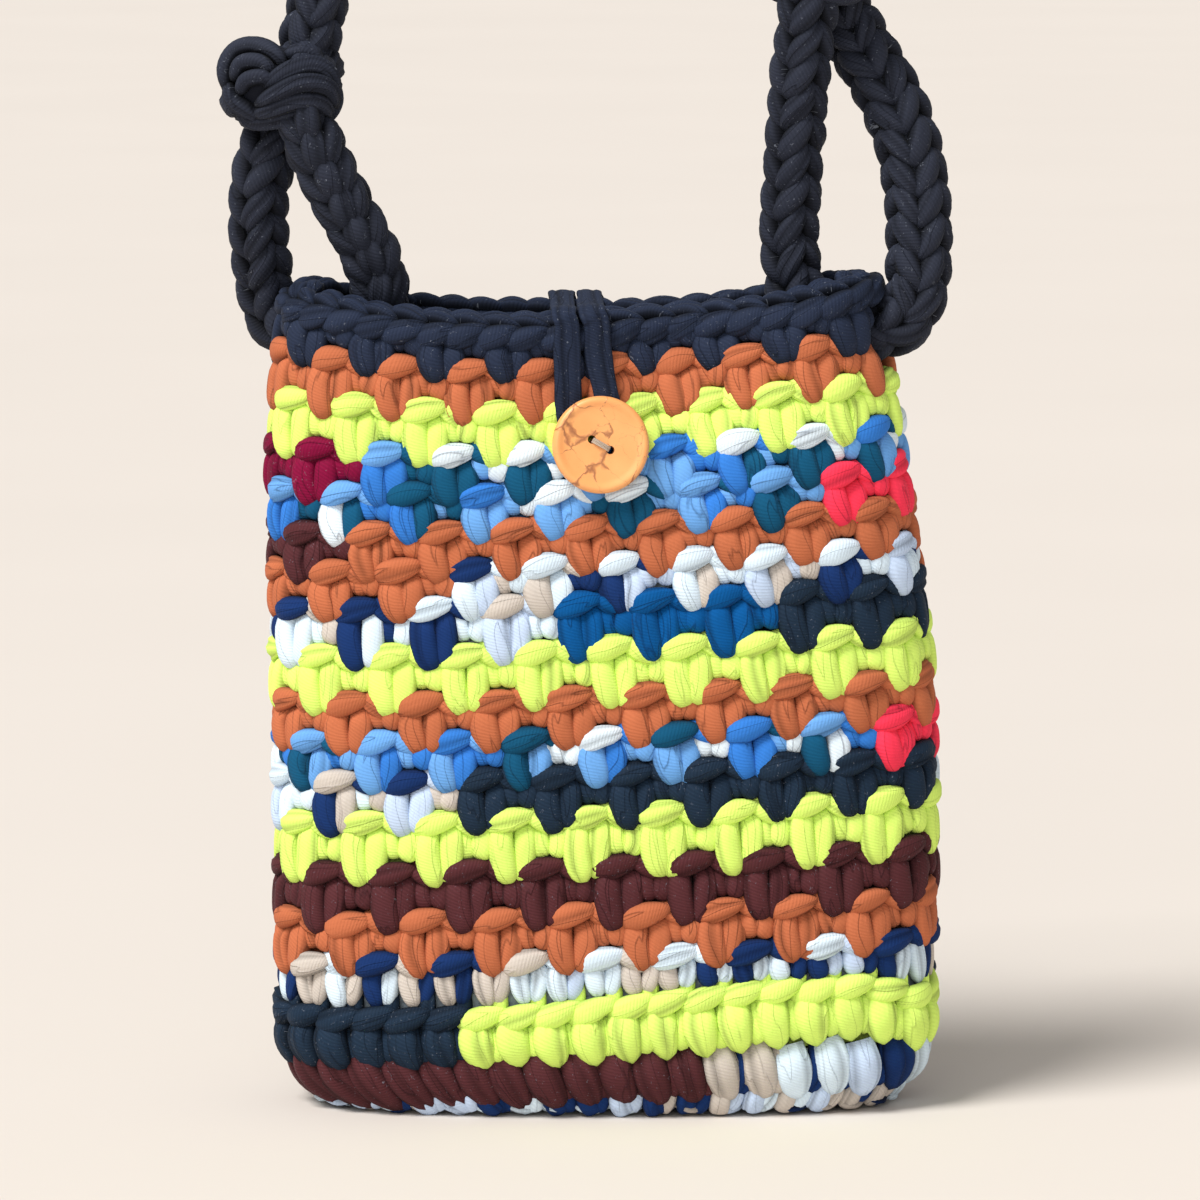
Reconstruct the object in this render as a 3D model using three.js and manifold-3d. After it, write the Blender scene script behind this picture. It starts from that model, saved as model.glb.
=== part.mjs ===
// Crocheted shoulder bag of thick jersey yarn, with a corded strap, a closure loop and a wooden button.
// Millimetres, +Z up. The front faces -Y, and the origin is the centre of the flat underside.
import * as THREE from 'three';
import { mergeVertices } from 'three/addons/utils/BufferGeometryUtils.js';
import Module from 'manifold-3d';

const wasm = await Module();
wasm.setup();

// Body: an oval bag, widest at mid height, with rounded bottom edges.
const bodyHalfWidth = 110;
const bodyHalfDepth = 33;
const rimNarrowing = 10.5;
const bellyHeight = 110;
const rimShift = 8;
const ovalPower = 2.8;
const wall = 11;
const edgeRise = 34;
const endInset = 24;
const frontInset = 9;

// Mouth: pressed together right of the middle.
const pinchShare = 0.45;
const pinchPlace = 32;
const pinchReach = 32;
const pinchStart = 200;

// Rounds of crochet: the height of the lowest ridge, then the rise from each round to the one above it.
const ridgeHeight = 39.5;
const roundRises = [16.3, 14.7, 16.5, 17, 14.3, 13.2, 13.2, 16, 16, 12.8, 12.9, 11.9, 12.7, 14, 13.5, 11];
const stitchPairs = 20;
const leanPerRound = 0.4;
const firstPairPlace = -1.05;
const tilt = 0.042;
const rimDip = 10;
const rimDipRounds = 5;
const rimCrest = 6.8;
const rimLip = 2.8;

// Stitches: how far each one hangs over the round below it, and how far it stands out.
const tipOverlap = 4.3;
const valleyRise = 3.3;
const spikeRise = 8;
const spikeTip = 4.5;
const tuckClearance = 1.2;
const tuckWidth = 0.24;
const leafBulge = 2.2;
const smallLeafBulge = 1.3;
const tipBulge = 0.5;
const groove = 1.1;
const ridgeBulge = 2.6;
const ridgeGroove = 6;
const postFoot = 20;
const postNotch = 26;
const footRoundFoot = 3.6;
const footRoundNotch = 6.4;
const footRoundBelly = 12.5;

// Floor of the bag.
const floorTop = 10;
const soleInset = 2;

// Clearances between touching pieces.
const gap = 0.3;
const trimGap = 0.35;

// Strap: a round crocheted cord, hung through an eyelet at each end of the rim.
const strapRadius = 8.5;
const strapSides = 8;
const loopSteps = 24;
const spanSteps = 15;
const eyeletReach = 17;
const eyeletPull = [2, -5, -3, -1.5];
const leftEyelet = { x: -104, y: 13 };
const rightEyelet = { x: 92, y: -3 };

// Closure: a doubled flat strip from the back of the rim to the button.
const stripWidth = 8.8;
const stripThickness = 2.4;
const stripBackDrop = 13;
const stripSag = 3;
const stripsAtRim = 9.4;
const stripsAside = 7.6;
const stripLift = 0.8;
const stripOverRim = 0.9;
const stripShoulderDrop = 1.5;
const stripFrontDrop = 5;
const stripProfile = [[-0.5, 0], [-0.36, 0.5], [0.36, 0.5], [0.5, 0], [0.36, -0.5], [-0.36, -0.5]];

// Button and its thread.
const buttonPlace = -2.7;
const buttonHeight = 229;
const buttonRadius = 16.2;
const buttonThickness = 4.2;
const buttonEdge = 1.6;
const buttonDish = 0.7;
const buttonBorder = 4.2;
const holeApart = 7.1;
const holeRadius = 1.25;
const holeTurn = -0.53;
const threadRadius = 0.9;
const threadDepth = 4;
const threadArch = 0.3;

const lerp = THREE.MathUtils.lerp;
const smooth = THREE.MathUtils.smoothstep;
const rounds = roundRises.length + 1;
const unitLength = 25.4;

// Height of the chain of leaves of each round at the middle of the front, counted from the rim down.
const leafHeights = [ridgeHeight];
for (const rise of roundRises) leafHeights.unshift(leafHeights[0] + rise);
const rimHeight = leafHeights[0] + rimCrest;

// Oval outline, worked out once as an angle for each share of the way round.
const ovalSteps = 720;
const ovalTable = [];
function power(value) {
  return Math.sign(value) * Math.abs(value) ** (2 / ovalPower);
}
for (let i = 0, length = 0, last = null; i <= ovalSteps; i++) {
  const angle = (i / ovalSteps) * 2 * Math.PI;
  const point = new THREE.Vector2(bodyHalfWidth * power(Math.sin(angle)), -bodyHalfDepth * power(Math.cos(angle)));
  if (last) length += point.distanceTo(last);
  ovalTable.push({ angle, length });
  last = point;
}
function ovalAngle(share) {
  const turn = Math.floor(share);
  const target = (share - turn) * ovalTable[ovalSteps].length;
  let low = 0;
  let high = ovalSteps;
  while (high - low > 1) {
    const middle = (low + high) >> 1;
    if (ovalTable[middle].length <= target) low = middle;
    else high = middle;
  }
  const from = ovalTable[low];
  const to = ovalTable[high];
  return lerp(from.angle, to.angle, (target - from.length) / (to.length - from.length)) + turn * 2 * Math.PI;
}

// Point of the bag's outer surface, where u counts pairs of stitches round the bag from the front.
function outline(u, z) {
  const angle = ovalAngle(u / stitchPairs);
  const above = Math.max(0, z - bellyHeight) / (rimHeight - bellyHeight);
  const below = THREE.MathUtils.clamp((edgeRise - z) / edgeRise, 0, 1);
  const inset = 1 - Math.sqrt(1 - below * below);
  const halfWidth = bodyHalfWidth - rimNarrowing * above * above - endInset * inset;
  const halfDepth = bodyHalfDepth - frontInset * inset;
  const x = halfWidth * power(Math.sin(angle));
  const pinch = pinchShare * smooth(z, pinchStart, rimHeight) * Math.exp(-(((x - pinchPlace) / pinchReach) ** 2));
  const shift = -rimShift * smooth(z, bellyHeight, rimHeight);
  return new THREE.Vector2(x + shift, -halfDepth * power(Math.cos(angle)) * (1 - pinch));
}
function surface(u, z, out) {
  const point = outline(u, z);
  const along = outline(u + 0.02, z).sub(outline(u - 0.02, z)).normalize();
  return new THREE.Vector3(point.x + along.y * out, point.y - along.x * out, z);
}

// Height of a round's chain of leaves. Rounds rise to the right, and those near the rim sag in the middle.
function leafHeight(round, u) {
  const x = outline(u, leafHeights[Math.min(round, rounds - 1)]).x;
  const y = outline(u, leafHeights[Math.min(round, rounds - 1)]).y;
  const dip = rimDip * Math.max(0, 1 - round / rimDipRounds) * (x / 100) ** 2;
  let pull = 0;
  for (const eyelet of [leftEyelet, rightEyelet]) {
    const away = Math.hypot(x - eyelet.x, y - eyelet.y) / eyeletReach;
    pull += (eyeletPull[round] ?? 0) * Math.exp(-away * away);
  }
  return leafHeights[round] + tilt * x + dip + pull;
}
function pairPlace(round) {
  return firstPairPlace + leanPerRound * round;
}

// Lower edge of each round, for one pair of stitches: place in the pair, height over the next leaves, bulge.
const longAndShort = [
  [-0.193, valleyRise, -groove], [-0.047, -tipOverlap, tipBulge], [0.167, -tipOverlap, tipBulge],
  [0.313, valleyRise, -groove],
];
const spikes = [
  [-0.193, spikeRise, -groove], [0.06, spikeTip, tipBulge], [0.313, spikeRise, -groove], [0.56, spikeTip, tipBulge],
];
const posts = [
  [-0.2, postNotch, -groove], [-0.06, postFoot, tipBulge], [0.18, postFoot, tipBulge],
  [0.3, postNotch, -groove], [0.44, postFoot, tipBulge], [0.68, postFoot, tipBulge],
];
const feet = [
  [-0.2, footRoundNotch, -groove], [0.06, footRoundFoot, tipBulge],
  [0.3, footRoundNotch, -groove], [0.56, footRoundFoot, tipBulge],
];

// Lines down the outside of a round, for one pair of stitches: place in the pair, height, bulge.
const rimTop = [[0, -0.6, -4.6], [0.25, 0.7, -4.2], [0.5, -0.6, -4.6], [0.75, 0.7, -4.2]];
const rimChain = [[0, 0, leafBulge], [0.25, -0.5, 0.2], [0.5, 0, leafBulge], [0.75, -0.5, 0.2]];
const ridgeChain = [[0, 0, ridgeBulge], [0.25, 0, 1], [0.5, 0, ridgeBulge], [0.75, 0, 1]];
const ridgeUnder = [
  [0.05, -ridgeGroove, 0.6], [0.3, -ridgeGroove, -groove], [0.55, -ridgeGroove, 0.6], [0.8, -ridgeGroove, -groove],
];
const leaves = [[0, 0, leafBulge], [0.19, -0.4, -0.5], [0.35, -0.7, smallLeafBulge]];
const footBelly = [[0.06, 0, leafBulge], [0.3, 0, -groove], [0.56, 0, leafBulge], [0.8, 0, -groove]];

// Yarn runs of each round: colour and the places, in pairs of stitches, where it starts and ends.
const back = 5.4;
const runs = [
  [['navy']],
  [['terracotta']],
  [['lime']],
  [['blue', -3.44, back], ['burgundy', back, 16.56]],
  [['coral', 2.96, back], ['blue', back, 22.96]],
  [['terracotta', -3.64, back], ['brown', back, 16.36]],
  [['white', -2.24, back], ['terracotta', back, 17.76]],
  [['petrol', -0.84, 2.16], ['charcoal', 2.16, back], ['white', back, 19.16]],
  [['lime']],
  [['terracotta']],
  [['coral', 3.36, back], ['blue', back, 23.36]],
  [['charcoal', -2.24, back], ['white', back, 17.76]],
  [['lime']],
  [['brown']],
  [['terracotta']],
  [['white']],
  [['lime', -1.64, back], ['charcoal', back, 18.36]],
  [['white', 1.36, back], ['brown', back, 21.36]],
];
const seam = -stitchPairs / 2;

function cutsOf(round) {
  const cuts = [seam];
  for (const [, from] of runs[round] ?? []) {
    if (from !== undefined) cuts.push(from - gap / 2 / unitLength, from + gap / 2 / unitLength);
  }
  return cuts;
}

// A closed chain of points round the bag, from a pattern repeated at each pair of stitches.
function chain(place, pattern) {
  const points = [];
  for (let pair = 0; pair < stitchPairs; pair++) {
    for (const [offset, height, bulge] of pattern) points.push({ u: place + pair + offset, height, bulge });
  }
  return wrap(points);
}
function wrap(points) {
  for (const point of points) point.u = seam + THREE.MathUtils.euclideanModulo(point.u - seam, stitchPairs);
  return points.sort((one, other) => one.u - other.u);
}
function at(points, u) {
  const target = seam + THREE.MathUtils.euclideanModulo(u - seam, stitchPairs);
  let next = points.findIndex((point) => point.u > target);
  const before = next > 0 ? points[next - 1] : points[points.length - 1];
  if (next < 0) next = 0;
  const after = points[next];
  const span = THREE.MathUtils.euclideanModulo(after.u - before.u, stitchPairs);
  const share = THREE.MathUtils.euclideanModulo(target - before.u, stitchPairs) / span;
  return { u: target, height: lerp(before.height, after.height, share), bulge: lerp(before.bulge, after.bulge, share) };
}
function withMarks(points, marks) {
  const extra = marks.map((u) => at(points, u));
  const close = 1e-6;
  const kept = points.filter((point) => extra.every((mark) => Math.abs(mark.u - point.u) > close));
  return wrap([...kept, ...extra]);
}
function slice(points, from, to) {
  const close = 1e-6;
  const inside = [];
  for (const turn of [-1, 0, 1, 2]) {
    for (const point of points) {
      const u = point.u + turn * stitchPairs;
      if (u > from + close && u < to - close) inside.push({ ...point, u });
    }
  }
  return [{ ...at(points, from), u: from }, ...inside, { ...at(points, to), u: to }];
}
function evenly(count, height, bulge, offset = 0.37) {
  const points = [];
  for (let i = 0; i < count; i++) points.push({ u: ((i + offset) * stitchPairs) / count, height, bulge });
  return wrap(points);
}

// The edges between rounds are worked out once, so that neighbours meet along the same faces.
const edges = [];
for (let round = 0; round <= rounds; round++) {
  const marks = [...cutsOf(round), ...cutsOf(round + 1)];
  const place = pairPlace(round) + 0.06;
  let pattern = longAndShort;
  let level = (u) => leafHeight(round + 1, u);
  let inner = 1;
  if (round === rounds - 2) pattern = spikes;
  if (round === rounds - 1) {
    pattern = posts;
    level = (u) => tilt * outline(u, postFoot).x;
    inner = postNotch;
  }
  if (round === rounds) {
    pattern = feet;
    level = () => 0;
    inner = floorTop;
  }
  const place3d = (point) => {
    const spot = surface(point.u, level(point.u) + point.height, point.bulge);
    return { ...point, spot };
  };
  edges.push({
    outer: withMarks(chain(place, pattern), marks),
    inner: withMarks(evenly(stitchPairs, inner, -wall), marks),
    place3d,
  });
}
function edgeLine(edge, side, from, to, drop) {
  const line = slice(edge[side], from, to).map(edge.place3d);
  for (const point of line) point.spot.z -= drop;
  return line;
}

// Triangles between two lines of points on the outside of a round, the upper one first.
function strip(faces, upper, lower) {
  let i = 0;
  let j = 0;
  while (i < upper.length - 1 || j < lower.length - 1) {
    const left = upper[i + 1]?.u ?? Infinity;
    const right = lower[j + 1]?.u ?? Infinity;
    if (left <= right) {
      faces.push(upper[i].spot, lower[j].spot, upper[i + 1].spot);
      i += 1;
    } else {
      faces.push(upper[i].spot, lower[j].spot, lower[j + 1].spot);
      j += 1;
    }
  }
}

// The face between two rounds, from the outer line to the inner one: the same triangles on both sides of a joint.
function bed(faces, outer, inner, up) {
  const push = (one, two, three) => (up ? faces.push(one, three, two) : faces.push(one, two, three));
  let i = 0;
  let j = 0;
  while (i < outer.length - 1 || j < inner.length - 1) {
    const next = outer[i + 1]?.u ?? Infinity;
    const middle = j < inner.length - 1 ? (inner[j].u + inner[j + 1].u) / 2 : Infinity;
    if (next <= middle) {
      push(outer[i].spot, inner[j].spot, outer[i + 1].spot);
      i += 1;
    } else {
      push(outer[i].spot, inner[j].spot, inner[j + 1].spot);
      j += 1;
    }
  }
}
function fan(faces, loop, flip) {
  for (let i = 1; i < loop.length - 1; i++) {
    if (flip) faces.push(loop[0], loop[i + 1], loop[i]);
    else faces.push(loop[0], loop[i], loop[i + 1]);
  }
}
function toGeometry(faces) {
  const geometry = new THREE.BufferGeometry().setFromPoints(faces);
  const merged = mergeVertices(geometry, 1e-4);
  merged.computeVertexNormals();
  return merged;
}

// Lines of points down the outside of a round, between its upper and lower edges.
function facePatterns(round) {
  const upperTip = THREE.MathUtils.euclideanModulo(pairPlace(round - 1) + 0.12 - pairPlace(round), 1);
  const dip = -tipOverlap - tuckClearance - gap;
  if (round === 0) return [{ level: rimCrest, pattern: rimTop }, { level: 0, pattern: rimChain }];
  if (round === rounds - 1) return [{ level: 0, pattern: ridgeChain }, { level: 0, pattern: ridgeUnder }];
  const pattern = [...leaves, [upperTip - tuckWidth / 2, dip, -groove], [upperTip + tuckWidth / 2, dip, -groove]];
  return [{ level: 0, pattern }];
}

// One run of yarn round the bag, as a closed solid.
function yarnRun(round, from = seam, to = seam + stitchPairs, closed = true) {
  const lines = [];
  if (round > 0) lines.push(edgeLine(edges[round - 1], 'outer', from, to, gap));
  for (const { level, pattern } of facePatterns(round)) {
    const line = slice(chain(pairPlace(round), pattern), from, to);
    lines.push(line.map((point) => {
      const spot = surface(point.u, leafHeight(round, point.u) + level + point.height, point.bulge);
      return { ...point, spot };
    }));
  }
  lines.push(edgeLine(edges[round], 'outer', from, to, 0));
  const innerLow = edgeLine(edges[round], 'inner', from, to, 0);
  const innerHigh = round > 0 ? edgeLine(edges[round - 1], 'inner', from, to, gap) : rimInside(from, to);
  return closeRun(lines, innerLow, innerHigh, closed);
}
function rimInside(from, to) {
  return slice(evenly(stitchPairs, rimLip, -wall), from, to).map((point) => {
    return { ...point, spot: surface(point.u, leafHeight(0, point.u) + point.height, point.bulge) };
  });
}
function closeRun(lines, innerLow, innerHigh, closed) {
  const faces = [];
  for (let i = 0; i < lines.length - 1; i++) strip(faces, lines[i], lines[i + 1]);
  bed(faces, lines[lines.length - 1], innerLow, false);
  strip(faces, innerLow, innerHigh);
  bed(faces, lines[0], innerHigh, true);
  if (!closed) {
    const ring = [innerHigh, ...lines, innerLow];
    fan(faces, ring.map((line) => line[line.length - 1].spot), false);
    fan(faces, ring.map((line) => line[0].spot), true);
  }
  return toGeometry(faces);
}

// The round that turns under the bag, and the floor that it carries.
function footRound(from = seam, to = seam + stitchPairs, closed = true) {
  const round = rounds;
  const bellyLine = slice(chain(pairPlace(round), footBelly), from, to).map((point) => {
    return { ...point, spot: surface(point.u, footRoundBelly + 0.5 * tilt * outline(point.u, 0).x, point.bulge) };
  });
  const lines = [edgeLine(edges[round - 1], 'outer', from, to, gap), bellyLine];
  lines.push(edgeLine(edges[round], 'outer', from, to, 0));
  const innerLow = edgeLine(edges[round], 'inner', from, to, 0);
  const innerHigh = edgeLine(edges[round - 1], 'inner', from, to, gap);
  return closeRun(lines, innerLow, innerHigh, closed);
}
function floorPlate() {
  const to = seam + stitchPairs;
  const rim = edgeLine(edges[rounds], 'outer', seam, to, gap);
  const floor = edgeLine(edges[rounds], 'inner', seam, to, gap);
  const sole = slice(evenly(3 * stitchPairs, 0, -soleInset), seam, to).map((point) => {
    return { ...point, spot: surface(point.u, 0, -soleInset) };
  });
  const faces = [];
  bed(faces, rim, floor, true);
  strip(faces, rim, sole);
  const under = new THREE.Vector3(0, 0, 0);
  const top = new THREE.Vector3(0, 0, floorTop - gap);
  for (let i = 0; i < sole.length - 1; i++) faces.push(sole[i].spot, under, sole[i + 1].spot);
  for (let i = 0; i < floor.length - 1; i++) faces.push(floor[i].spot, floor[i + 1].spot, top);
  return toGeometry(faces);
}

// Conversions for cutting and joining.
function toSolid(geometry) {
  const bare = geometry.clone();
  bare.deleteAttribute('normal');
  bare.deleteAttribute('uv');
  const merged = mergeVertices(bare, 1e-4);
  const vertProperties = new Float32Array(merged.attributes.position.array);
  const triVerts = new Uint32Array(merged.index.array);
  return new wasm.Manifold(new wasm.Mesh({ numProp: 3, vertProperties, triVerts }));
}
function fromSolid(solid) {
  const { numProp, vertProperties, triVerts } = solid.getMesh();
  const positions = [];
  for (let i = 0; i < vertProperties.length; i += numProp) {
    positions.push(vertProperties[i], vertProperties[i + 1], vertProperties[i + 2]);
  }
  const geometry = new THREE.BufferGeometry();
  geometry.setAttribute('position', new THREE.Float32BufferAttribute(positions, 3));
  geometry.setIndex([...triVerts]);
  geometry.computeVertexNormals();
  return geometry;
}
function cut(geometry, tools) {
  let solid = toSolid(geometry);
  for (const tool of tools) solid = solid.subtract(toSolid(tool));
  return fromSolid(solid);
}

// Plain tube along a smooth route.
function tube(points, radius, steps, closed = false) {
  const outlineShape = new THREE.Shape();
  for (let i = 0; i < strapSides; i++) {
    const angle = (i / strapSides) * 2 * Math.PI;
    if (i === 0) outlineShape.moveTo(radius, 0);
    else outlineShape.lineTo(radius * Math.cos(angle), radius * Math.sin(angle));
  }
  const route = new THREE.CatmullRomCurve3(points.map((point) => new THREE.Vector3(...point)), closed);
  return new THREE.ExtrudeGeometry(outlineShape, { steps, extrudePath: route, bevelEnabled: false });
}

// Routes of the strap, from the left knot through the left eyelet, over the top and down to the right one.
const leftLoop = [
  [-108.5, 7.5, 342], [-112, 7.5, 328], [-116, 8, 314], [-117, 10, 299], [-116, 14, 285], [-114.5, 17, 274],
  [-111, 17, 265.5], [-104, 14, 262.5], [-95, 10, 261.5], [-86, 6, 261.5], [-78.5, 3, 266],
  [-75.8, 1, 275], [-78, -1.5, 287], [-84, -4, 300], [-91.5, -6.5, 314], [-97.5, -8.5, 328], [-101, -9, 342],
];
const span = [
  [-103, 0, 348], [-98, 0, 366], [-93, 0, 386], [-82, 0, 408], [-60, 0, 428], [-30, 0, 440], [0, 0, 443],
  [30, 0, 438], [54, 0, 424], [66, 0, 408], [72, 0, 389],
];
const rightLoop = [
  [74, 8, 388], [77.5, 9.5, 374], [84, 11, 361], [93, 8, 347], [100, 4, 331], [104, 1, 313],
  [105, -1, 296], [104.5, -3, 280], [101, -4, 269.5], [93, -4, 265], [84, -3, 263.5], [75, -1.5, 265],
  [66.5, 0, 270], [63.5, 0, 280], [61.5, 0, 296], [62.5, -1, 314], [63.5, -3.5, 333], [65, -6, 352],
  [67, -8, 371], [68.5, -9.5, 388],
];
const leftKnotPlace = [-108.5, 0, 347.5];
const rightKnotPlace = [71, 0, 389];
const knotSize = [21, 18, 14.5];
const knotLean = 0.35;
const knotSwell = 0.06;
const knotWraps = 3;

function knot(place, mirror, extra) {
  const body = new THREE.SphereGeometry(1, 14, 9);
  const spots = body.attributes.position;
  for (let i = 0; i < spots.count; i++) {
    const spot = new THREE.Vector3().fromBufferAttribute(spots, i);
    const swell = 1 + knotSwell * Math.cos(knotWraps * Math.atan2(spot.z, spot.x) + 1);
    const [length, depth, height] = knotSize;
    const across = length * swell + extra;
    const upward = height * swell + extra;
    spots.setXYZ(i, spot.x * across, spot.y * (depth + extra), spot.z * upward);
  }
  body.rotateY(-mirror * knotLean);
  return body.translate(...place);
}
const leftKnotRoom = knot(leftKnotPlace, 1, trimGap);
const rightKnotRoom = knot(rightKnotPlace, -1, trimGap);
const strapRoom = [tube(leftLoop, strapRadius + trimGap, loopSteps), tube(rightLoop, strapRadius + trimGap, loopSteps)];

// Place and direction of the button on the front.
function frontPlace(x, z, out) {
  let low = -stitchPairs / 4;
  let high = stitchPairs / 4;
  for (let i = 0; i < 40; i++) {
    const middle = (low + high) / 2;
    if (outline(middle, z).x < x) low = middle;
    else high = middle;
  }
  return surface(low, z, out);
}
function backPlace(x, z, out) {
  const front = frontPlace(x, z, out);
  return new THREE.Vector3(front.x, -front.y, z);
}
const stripOut = leafBulge + stripLift + stripThickness / 2;
const rimMiddle = 4.6;
const shoulder = rimMiddle + 3;
const buttonBack = leafBulge + stripLift + stripThickness + gap;
const buttonBase = frontPlace(buttonPlace, buttonHeight, 0);
const frontRight = frontPlace(buttonPlace + buttonRadius, buttonHeight, 0)
  .sub(frontPlace(buttonPlace - buttonRadius, buttonHeight, 0)).normalize();
const frontUp = frontPlace(buttonPlace, buttonHeight + buttonRadius, 0)
  .sub(frontPlace(buttonPlace, buttonHeight - buttonRadius, 0)).normalize();
const frontNormal = frontRight.clone().cross(frontUp).normalize();

// The strip: up the back, over both rims, down the front and round the button's thread.
function stripRoute(backX, rimX, lowX) {
  const route = [];
  const rimZ = (x) => rimHeight + tilt * x + gap + stripThickness / 2 + stripOverRim;
  const upright = (x, spot, way) => {
    const place = new THREE.Vector3(x, spot.y + way * shoulder, rimZ(x) - stripShoulderDrop);
    return { spot: place, normal: new THREE.Vector3(0, way, 1).normalize() };
  };
  for (let i = 0; i < 3; i++) {
    const z = rimZ(backX) - stripBackDrop + i * 4;
    route.push({ spot: backPlace(backX, z, stripOut), normal: new THREE.Vector3(0, 1, 0) });
  }
  const backRim = backPlace(backX, rimHeight, -rimMiddle);
  const frontRim = frontPlace(rimX, rimHeight, -rimMiddle);
  route.push(upright(backX, backRim, 1));
  route.push({ spot: new THREE.Vector3(backX, backRim.y, rimZ(backX)), normal: new THREE.Vector3(0, 0, 1) });
  const middle = new THREE.Vector3((backX + rimX) / 2, (backRim.y + frontRim.y) / 2, rimZ(rimX) - stripSag);
  route.push({ spot: middle, normal: new THREE.Vector3(0, 0, 1) });
  route.push({ spot: new THREE.Vector3(rimX, frontRim.y, rimZ(rimX)), normal: new THREE.Vector3(0, 0, 1) });
  route.push(upright(rimX, frontRim, -1));
  const top = rimZ(rimX) - stripFrontDrop;
  const steps = 6;
  for (let i = 0; i <= steps; i++) {
    const share = i / steps;
    const z = lerp(top, buttonHeight, share);
    const x = lerp(rimX, lowX, share * share);
    const spot = z < buttonHeight + buttonRadius ? behindButton(x, z) : frontPlace(x, z, stripOut);
    route.push({ spot, normal: frontNormal });
  }
  return route;
}
function behindButton(x, z) {
  const spot = buttonBase.clone().addScaledVector(frontNormal, stripOut);
  return spot.addScaledVector(frontRight, x - buttonPlace).addScaledVector(frontUp, z - buttonHeight);
}
function closureLoop() {
  const half = holeApart / 2 + threadRadius + gap + stripWidth / 2;
  const middle = buttonPlace - stripsAside;
  const left = stripRoute(middle - stripsAtRim / 2, middle - stripsAtRim / 2 + 1, buttonPlace - half);
  const right = stripRoute(middle + stripsAtRim / 2, middle + stripsAtRim / 2 + 1, buttonPlace + half);
  const turn = [];
  const steps = 7;
  for (let i = 1; i < steps; i++) {
    const angle = (i / steps) * Math.PI;
    const spot = behindButton(buttonPlace - half * Math.cos(angle), buttonHeight - half * Math.sin(angle));
    turn.push({ spot, normal: frontNormal });
  }
  return ribbon([...left, ...turn, ...right.reverse()]);
}
function ribbon(route) {
  const rings = route.map(({ spot, normal }, i) => {
    const ahead = route[Math.min(i + 1, route.length - 1)].spot;
    const behind = route[Math.max(i - 1, 0)].spot;
    const along = ahead.clone().sub(behind).normalize();
    const side = along.clone().cross(normal).normalize();
    const up = side.clone().cross(along).normalize();
    return stripProfile.map(([across, high]) => {
      return spot.clone().addScaledVector(side, across * stripWidth).addScaledVector(up, high * stripThickness);
    });
  });
  const faces = [];
  const sides = rings[0].length;
  for (let i = 0; i < rings.length - 1; i++) {
    for (let j = 0; j < sides; j++) {
      const k = (j + 1) % sides;
      faces.push(rings[i][j], rings[i][k], rings[i + 1][j], rings[i][k], rings[i + 1][k], rings[i + 1][j]);
    }
  }
  fan(faces, rings[0], true);
  fan(faces, rings[rings.length - 1], false);
  return toGeometry(faces);
}

// Button: a turned disc with a soft edge and a shallow dish, two holes, and the thread through them.
function standOnFront(geometry) {
  const down = frontRight.clone().cross(frontNormal).normalize();
  const frame = new THREE.Matrix4().makeBasis(frontRight, frontNormal, down).setPosition(buttonBase);
  return geometry.applyMatrix4(frame);
}
function holeSpots() {
  const reach = holeApart / 2;
  return [-1, 1].map((side) => [side * reach * Math.cos(holeTurn), side * reach * Math.sin(holeTurn)]);
}
function button() {
  const low = buttonBack;
  const high = buttonBack + buttonThickness;
  const profile = [new THREE.Vector2(0, low), new THREE.Vector2(buttonRadius - buttonEdge, low)];
  for (let i = 1; i < 4; i++) {
    const angle = -Math.PI / 2 + (i / 4) * Math.PI;
    const x = buttonRadius - buttonEdge + buttonEdge * Math.cos(angle);
    profile.push(new THREE.Vector2(x, (low + high) / 2 + (buttonThickness / 2) * Math.sin(angle)));
  }
  profile.push(new THREE.Vector2(buttonRadius - buttonEdge, high));
  profile.push(new THREE.Vector2(buttonRadius - buttonBorder, high - buttonDish), new THREE.Vector2(0, high - buttonDish));
  const disc = new THREE.LatheGeometry(profile, 28);
  const holes = holeSpots().map(([x, z]) => {
    return new THREE.CylinderGeometry(holeRadius, holeRadius, 4 * buttonThickness, 12).translate(x, (low + high) / 2, -z);
  });
  return standOnFront(cut(disc, holes));
}
function thread(extra) {
  const top = buttonBack + buttonThickness - buttonDish;
  const radius = threadRadius + extra;
  const legs = holeSpots().map(([x, z]) => {
    const length = top + threadRadius + threadDepth + extra;
    return new THREE.CylinderGeometry(radius, radius, length, 10).translate(x, length / 2 - threadDepth - extra, -z);
  });
  const [one, other] = holeSpots();
  const bar = tube([[one[0], top + threadRadius, -one[1]], [0, top + threadRadius + threadArch, 0],
    [other[0], top + threadRadius, -other[1]]], radius, 6);
  const solid = toSolid(legs[0]).add(toSolid(legs[1])).add(toSolid(bar));
  return standOnFront(fromSolid(solid));
}

// Assembly.
const finish = {
  navy: { color: 0x1f2a44, roughness: 0.9 },
  strap: { color: 0x14171f, roughness: 0.92 },
  terracotta: { color: 0xa85a3c, roughness: 0.88 },
  lime: { color: 0xc4f23a, roughness: 0.85 },
  burgundy: { color: 0x5c1136, roughness: 0.88 },
  blue: { color: 0x4f8ccc, roughness: 0.87 },
  coral: { color: 0xe83a50, roughness: 0.87 },
  brown: { color: 0x3e2024, roughness: 0.9 },
  white: { color: 0xd8e6ef, roughness: 0.86 },
  petrol: { color: 0x1b5a80, roughness: 0.88 },
  charcoal: { color: 0x20222b, roughness: 0.9 },
  wood: { color: 0xdc9a5c, roughness: 0.45 },
  thread: { color: 0xb8a288, roughness: 0.8 },
};
const bag = new THREE.Group();
bag.name = 'crocheted_bag';
function add(name, geometry, finishName) {
  const material = new THREE.MeshStandardMaterial({ ...finish[finishName], metalness: 0 });
  material.name = finishName;
  const mesh = new THREE.Mesh(geometry, material);
  mesh.name = name;
  bag.add(mesh);
}

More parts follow.
